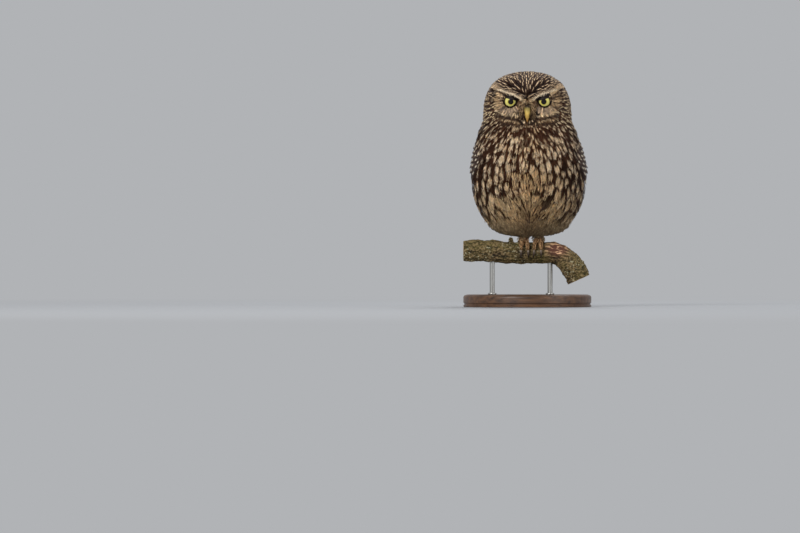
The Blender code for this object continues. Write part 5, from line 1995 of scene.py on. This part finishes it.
@dataclass
class Eye:
    """A glass eye and its lids."""

    side: Side
    bulge: float = 0.5 * MM
    bulge_angle: float = math.radians(48)
    opening: float = 5.6 * MM
    top: float = 2.05 * MM
    settled: float = 0.9 * MM
    droop: float = 0.11
    slant: float = 0.28
    spread: float = 0.97
    segments: int = 64

    def __post_init__(self) -> None:
        """Reads the eyeball's place from the frame."""
        low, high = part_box(f"eye_{self.side.value}")
        self.centre = (low + high) / 2 - Vector((0, 0, self.settled))
        self.radius = 0.5 * (high.z - low.z)
        ahead = Vector((self.side.sign * math.sin(GAZE_OUTWARD), -1.0, -math.sin(GAZE_DOWN)))
        ahead.normalize()
        self.place = turned(self.centre, ahead)

    def build(self) -> None:
        """Builds the ball and the lids."""
        self.ball()
        self.lids()

    def ball(self) -> None:
        """The eyeball, its cornea raised a little in front."""
        mesh = bmesh.new()
        bmesh.ops.create_uvsphere(mesh, u_segments=self.segments, v_segments=40, radius=self.radius)
        layer = mesh.verts.layers.float_vector.new("iris_place")
        for vert in mesh.verts:
            angle = vert.co.angle(Vector((0, 0, 1)))
            from_axis = self.radius * math.sin(min(angle, 0.5 * math.pi)) / MM
            if angle > 0.5 * math.pi:
                from_axis = self.radius / MM
            vert[layer] = (from_axis, math.atan2(vert.co.y, vert.co.x), 0.0)
            if vert.co.z > 0:
                vert.co *= self.surface(from_axis * MM) / self.radius
        bmesh.ops.transform(mesh, matrix=self.place, verts=mesh.verts)
        made = linked(f"glass_eye_{self.side.value}", mesh)
        made.data.shade_smooth()
        dress(made, GlassEye(), nodes=[f"eye_{self.side.value}"], slot="eye")

    def rim(self, turn: float) -> float:
        """The opening's half size in a direction, cut off above by a frown down to the bill."""
        over = math.sin(turn) - self.slant * math.cos(turn) * self.side.sign
        round_below = self.opening * (1 + self.droop * max(-math.sin(turn), 0) ** 2)
        return min(round_below, self.top / over) if over > 1e-6 else round_below

    def surface(self, size: float) -> float:
        """How far the ball's surface is from its centre, at a distance from its axis."""
        angle = math.asin(min(size / self.radius, 1.0))
        raised = 1 - float(fade(angle, 0.3 * self.bulge_angle, self.bulge_angle))
        return self.radius + self.bulge * raised

    def lids(self) -> None:
        """The lids: a ring of skin that rolls in to the ball and sinks into the face."""
        mesh = bmesh.new()
        ring = bmesh.ops.create_circle(mesh, segments=self.segments, radius=1.0)["verts"]
        ring.sort(key=lambda v: math.atan2(v.co.y, v.co.x))
        turns = [math.atan2(v.co.y, v.co.x) for v in ring]
        # Each ring: (added to the opening's half size, share of the way on to the ball's side,
        # height over the ball), the first and last in mm.
        rings = (
            (0.0, 0.0, -0.3), (-0.06, 0.0, 0.1), (0.1, 0.0, 0.35), (0.1, 0.15, 0.5),
            (0.1, 0.4, 0.5), (0.1, 0.65, 0.4), (0.1, 0.85, 0.1), (0.0, 1.0, -0.7),
        )
        edges = list({e for v in ring for e in v.link_edges})
        side = self.spread * self.radius
        for number, (wider, share, over) in enumerate(rings):
            if number:
                made = bmesh.ops.extrude_edge_only(mesh, edges=edges)["geom"]
                ring = [g for g in made if isinstance(g, bmesh.types.BMVert)]
                edges = [g for g in made if isinstance(g, bmesh.types.BMEdge)]
                ring.sort(key=lambda v: math.atan2(v.co.y, v.co.x))
            for vert, turn in zip(ring, turns):
                size = self.rim(turn) + wider * MM
                size += share * (side - size)
                deep = math.sqrt(max(self.radius**2 - size**2, 0.0))
                out = Vector((size * math.cos(turn), size * math.sin(turn), deep))
                vert.co = out * ((self.surface(size) + over * MM) / self.radius)
        bmesh.ops.transform(mesh, matrix=self.place, verts=mesh.verts)
        bmesh.ops.recalc_face_normals(mesh, faces=mesh.faces)
        made = linked(f"lids_{self.side.value}", mesh)
        made.data.shade_smooth()
        dress(made, BareSkin(), slot="feathers_head")


@dataclass
class HornParts:
    """Horny parts of the bird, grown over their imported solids."""

    horn: Horn
    slot: str
    smoothing: int = 2

    def grow(self, node: str, span: tuple[float, float] | None = None) -> None:
        """Smooths a part, and runs the horn's colour from its root to its tip.

        Args:
            node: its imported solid.
            span: the heights of tip and root, if they aren't the part's own.
        """
        made = linked(node + "_horn", welded_copy(node))
        finer = made.modifiers.new("finer", "SUBSURF")
        finer.levels = finer.render_levels = self.smoothing
        applied(made)
        made.data.shade_smooth()
        heights = np.array([v.co.z for v in made.data.vertices])
        tip, root = span or (heights.min(), heights.max())
        write_points(made.data, "to_tip", np.clip((root - heights) / (root - tip), 0, 1))
        dress(made, self.horn, nodes=[node], slot=self.slot)


@dataclass
class Bill(HornParts):
    """The hooked bill, both halves."""

    horn: Horn = Horn(
        "bill_horn_yellow",
        ((0.0, "#231811"), (0.13, "#2e2218"), (0.26, "#93803f"),
         (0.5, "#d0ad50"), (1.0, "#94602a")),
    )
    slot: str = "bill_horn"

    def build(self) -> None:
        """Grows each half, its colours level with those of the upper one."""
        low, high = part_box("bill_upper")
        for node in ("bill_upper", "bill_lower"):
            self.grow(node, (low.z, high.z))


@dataclass
class Claws(HornParts):
    """The eight claws, which darken towards their tips."""

    horn: Horn = Horn(
        "claw_horn_dark", ((0.0, "#75624c"), (0.4, "#4a3b2f"), (0.85, "#17110e")), 0.34
    )
    slot: str = "claw_horn"

    def build(self) -> None:
        """Grows each claw."""
        for node in sorted(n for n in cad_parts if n.startswith("claw_")):
            self.grow(node)


@dataclass
class Perch:
    """The cut length of branch: how high its bark's ridges, lumps, crusts and grit stand."""

    voxel: float = 0.6 * MM
    ridge: float = 0.8 * MM
    lump: float = 0.6 * MM
    crust: float = 0.35 * MM
    grit: float = 0.22 * MM
    inset: float = 0.25 * MM

    def __post_init__(self) -> None:
        """Finds the middles of the sawn ends and the ways that they face."""
        axis = PERCH_TOP - PERCH_RADIUS
        level = Vector((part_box("perch")[0].x, 0, axis + 2 * MM))
        bent = Vector((50 * MM, 0, axis - 26 * MM))
        self.ends = ((level, Vector((-1, 0, 0))), (bent, Vector((0.41, 0, -0.91))))

    def sawn_at(self, vert: bmesh.types.BMVert) -> tuple[float, float]:
        """Where a point is on the sawn ends.

        Args:
            vert: the point.

        Returns:
            How much of an end it is, from 0 to 1, and how far it is from the nearest end's
            middle, in mm.
        """
        flat = max(
            float(fade(vert.normal.dot(way), 0.75, 0.92))
            * float(fade(abs((vert.co - end).dot(way)), 2.2 * MM, 1.2 * MM))
            for end, way in self.ends
        )
        end, way = min(self.ends, key=lambda pair: (vert.co - pair[0]).length)
        return flat, (vert.co - end).cross(way).length / MM

    def build(self) -> None:
        """Roughens the branch with bark ridges, cracks and lichen crusts, but not its sawn ends."""
        made = remeshed(linked("branch_bark", welded_copy("perch")), self.voxel, 3)
        mesh = bmesh.new()
        mesh.from_mesh(made.data)
        mesh.normal_update()
        growth = mesh.verts.layers.float_vector.new("growth")
        sawn = mesh.verts.layers.float_vector.new("sawn")
        moves = []
        for vert in mesh.verts:
            place = vert.co / MM
            flat, ring = self.sawn_at(vert)
            long_place = Vector((place.x * 0.22, place.y, place.z)) * 0.42
            cracks = noise.fractal(long_place, 0.8, 2.0, 4)
            crusts = float(fade(noise.noise(place * 0.6 + Vector((9, 2, 5))), 0.12, 0.4))
            crusts *= float(fade(noise.noise(place * 0.08 + Vector((3, 8, 1))), -0.1, 0.25))
            # Where the owl's perching has rubbed the bark off, right of its feet.
            rubbed = math.exp(-(((place.x - 29) / 9) ** 2) - ((place.z - 56) / 6) ** 2)
            rubbed *= place.y < 0
            film = min(max(0.55 + 0.9 * noise.noise(place * 0.09 + Vector((1, 1, 7))), 0), 1)
            vert[growth] = (crusts * (1 - rubbed), film * (1 - rubbed), min(1.6 * rubbed, 1))
            # The third number is how deep the bark sinks here; the bark paints its hollows dark as
            # painted shade.
            vert[sawn] = (flat, ring, float(fade(-cracks, 0.2, 0.7)))
            out = self.ridge * cracks + self.lump * noise.noise(place * 0.13)
            out = out + self.crust * crusts + self.grit * noise.noise(place * 0.9)
            moves.append((1 - flat) * (1 - 0.6 * rubbed) * (out - self.inset))
        for vert, move in zip(mesh.verts, moves):
            vert.co += vert.normal * move
        mesh.to_mesh(made.data)
        mesh.free()
        dress(made, Bark(), nodes=["perch"], slot="bark")


@dataclass
class Stand:
    """The display stand: a turned base and two rods with collars."""

    collar_radius: float = 4.2 * MM
    collar_height: float = 1.6 * MM
    collar_edge: float = 0.4 * MM
    # The rounded edge of the base's top: where it starts in from the edge and down, and its
    # depth. The foot below it is (in from the edge, height). All in mm.
    round_from: tuple[float, float] = (2.6, 0.35)
    round_depth: float = 2.4
    foot: tuple[tuple[float, float], ...] = (
        (0, 4.2), (0.9, 3.6), (0.9, 2.6), (0.1, 1.8), (0.1, 0.5), (0.6, 0),
    )

    def build(self) -> None:
        """Turns the base, and finishes the rods."""
        _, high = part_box("stand_base")
        radius, top = high.x, high.z
        start, lip = (size * MM for size in self.round_from)
        edge = [(radius, top), (3.0 * MM, top), (start, top - lip)]
        for angle in np.linspace(0, 0.5 * math.pi, 9).tolist():
            down = lip + self.round_depth * MM * (1 - math.cos(angle))
            edge.append((start * (1 - math.sin(angle)), top - down))
        edge += [(inward * MM, height * MM) for inward, height in self.foot] + [(radius, 0)]
        profile = [Vector((radius - inward, 0, height)) for inward, height in edge]
        mesh = bmesh.new()
        verts = [mesh.verts.new(p) for p in profile]
        edges = [mesh.edges.new(pair) for pair in zip(verts, verts[1:])]
        bmesh.ops.spin(
            mesh, geom=verts + edges, cent=(0, 0, 0), axis=(0, 0, 1), dvec=(0, 0, 0),
            angle=2 * math.pi, steps=96, use_merge=True, use_duplicate=False,
        )
        bmesh.ops.remove_doubles(mesh, verts=mesh.verts, dist=WELD)
        bmesh.ops.recalc_face_normals(mesh, faces=mesh.faces)
        made = linked("turned_base", mesh)
        made.data.shade_smooth()
        made.data.set_sharp_from_angle(angle=math.radians(35))
        dress(made, TurnedWood(), nodes=["stand_base"], slot="base_wood")
        for number in (1, 2):
            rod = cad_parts[f"stand_rod_{number}"]
            rod.data.materials.clear()
            rod.data.materials.append(BrushedSteel().material())
            self.collar(number, top)

    def collar(self, number: int, top: float) -> None:
        """A thin steel collar where a rod enters the base.

        Args:
            number: the rod's number.
            top: the height of the base's top.
        """
        low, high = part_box(f"stand_rod_{number}")
        centre = (low + high) / 2
        mesh = bmesh.new()
        bmesh.ops.create_cone(
            mesh, cap_ends=True, segments=40, radius1=self.collar_radius,
            radius2=self.collar_radius, depth=self.collar_height,
        )
        bmesh.ops.translate(
            mesh, verts=mesh.verts, vec=(centre.x, centre.y, top + 0.5 * self.collar_height)
        )
        rims = [e for e in mesh.edges if abs(e.verts[0].co.z - e.verts[1].co.z) < WELD]
        bmesh.ops.bevel(
            mesh, geom=rims, offset=self.collar_edge, segments=3, profile=0.5, affect="EDGES",
            material=-1,
        )
        made = linked(f"rod_collar_{number}", mesh)
        made.data.shade_smooth()
        made.data.set_sharp_from_angle(angle=math.radians(30))
        dress(made, BrushedSteel(), slot="rod_steel")


@dataclass
class Studio:
    """The pale floor, the soft lights and the camera."""

    floor_radius: float = 9.0
    world: str = "#b1b3b6"
    look_height: float = 150 * MM

    def build(self) -> None:
        """Builds the stage and sets the scene's camera."""
        self.floor()
        self.lights()
        self.camera()

    def floor(self) -> None:
        """A wide disc of paper."""
        mesh = bmesh.new()
        bmesh.ops.create_circle(mesh, cap_ends=True, segments=96, radius=self.floor_radius)
        made = linked("floor", mesh)
        made.data.materials.append(PaleFloor().material())

    def lights(self) -> None:
        """The grey sky all round and three soft lamps over it."""
        world = bpy.data.worlds.new("soft_sky")
        world.use_nodes = True
        world.node_tree.nodes["Background"].inputs["Color"].default_value = linear(self.world)
        bpy.context.scene.world = world
        lamps = (
            ("key", (-0.95, -1.6, 1.0), 0.9, 24.0), ("fill", (1.6, -1.2, 0.7), 1.4, 9.0),
            ("top", (0.2, 0.9, 1.7), 1.2, 20.0),
        )
        target = Vector((0, 0, self.look_height))
        for name, place, size, power in lamps:
            data = bpy.data.lights.new(name, "AREA")
            data.shape = "DISK"
            data.size = size
            data.energy = power
            lamp = bpy.data.objects.new(name, data)
            lamp.location = place
            lamp.rotation_euler = (target - Vector(place)).to_track_quat("-Z", "Y").to_euler()
            bpy.context.scene.collection.objects.link(lamp)

    def camera(self) -> None:
        """The camera, level with the branch; the owl stands right of the middle."""
        height = PERCH_TOP + (PERCH_TOP_PIXEL - 0.5 * PICTURE_SIZE[1]) * PIXEL
        data = bpy.data.cameras.new("camera")
        data.sensor_width = SENSOR
        data.lens = SENSOR * CAMERA_DISTANCE / (PICTURE_SIZE[0] * PIXEL)
        data.clip_end = 60.0
        made = bpy.data.objects.new("camera", data)
        made.location = (0, -CAMERA_DISTANCE, height)
        aim = Vector(((0.5 * PICTURE_SIZE[0] - OWL_PIXEL) * PIXEL, 0, height))
        made.rotation_euler = (aim - made.location).to_track_quat("-Z", "Y").to_euler()
        bpy.context.scene.collection.objects.link(made)
        bpy.context.scene.camera = made


def main() -> None:
    """Builds the owl, its perch and its stand in order."""
    logging.basicConfig(level=logging.INFO, format="%(name)s: %(message)s")
    bpy.context.scene.view_settings.view_transform = "Standard"
    Studio().build()
    Skin().build()
    nodes = Skin.nodes + ("wing_left", "wing_right", "tail", "eye_left", "eye_right")
    guide = Ground(fused("guide", nodes, 0.4 * MM, 1.3 * MM, 12))
    wings = [WingSheet(side, guide) for side in Side]
    BodyCoat(guide, wings).build()
    LegCoat().build()
    for wing in wings:
        wing.build()
    Tail(wings[0]).build()
    for side in Side:
        Eye(side).build()
    Bill().build()
    Claws().build()
    Perch().build()
    Stand().build()


if __name__ == "__main__":
    main()
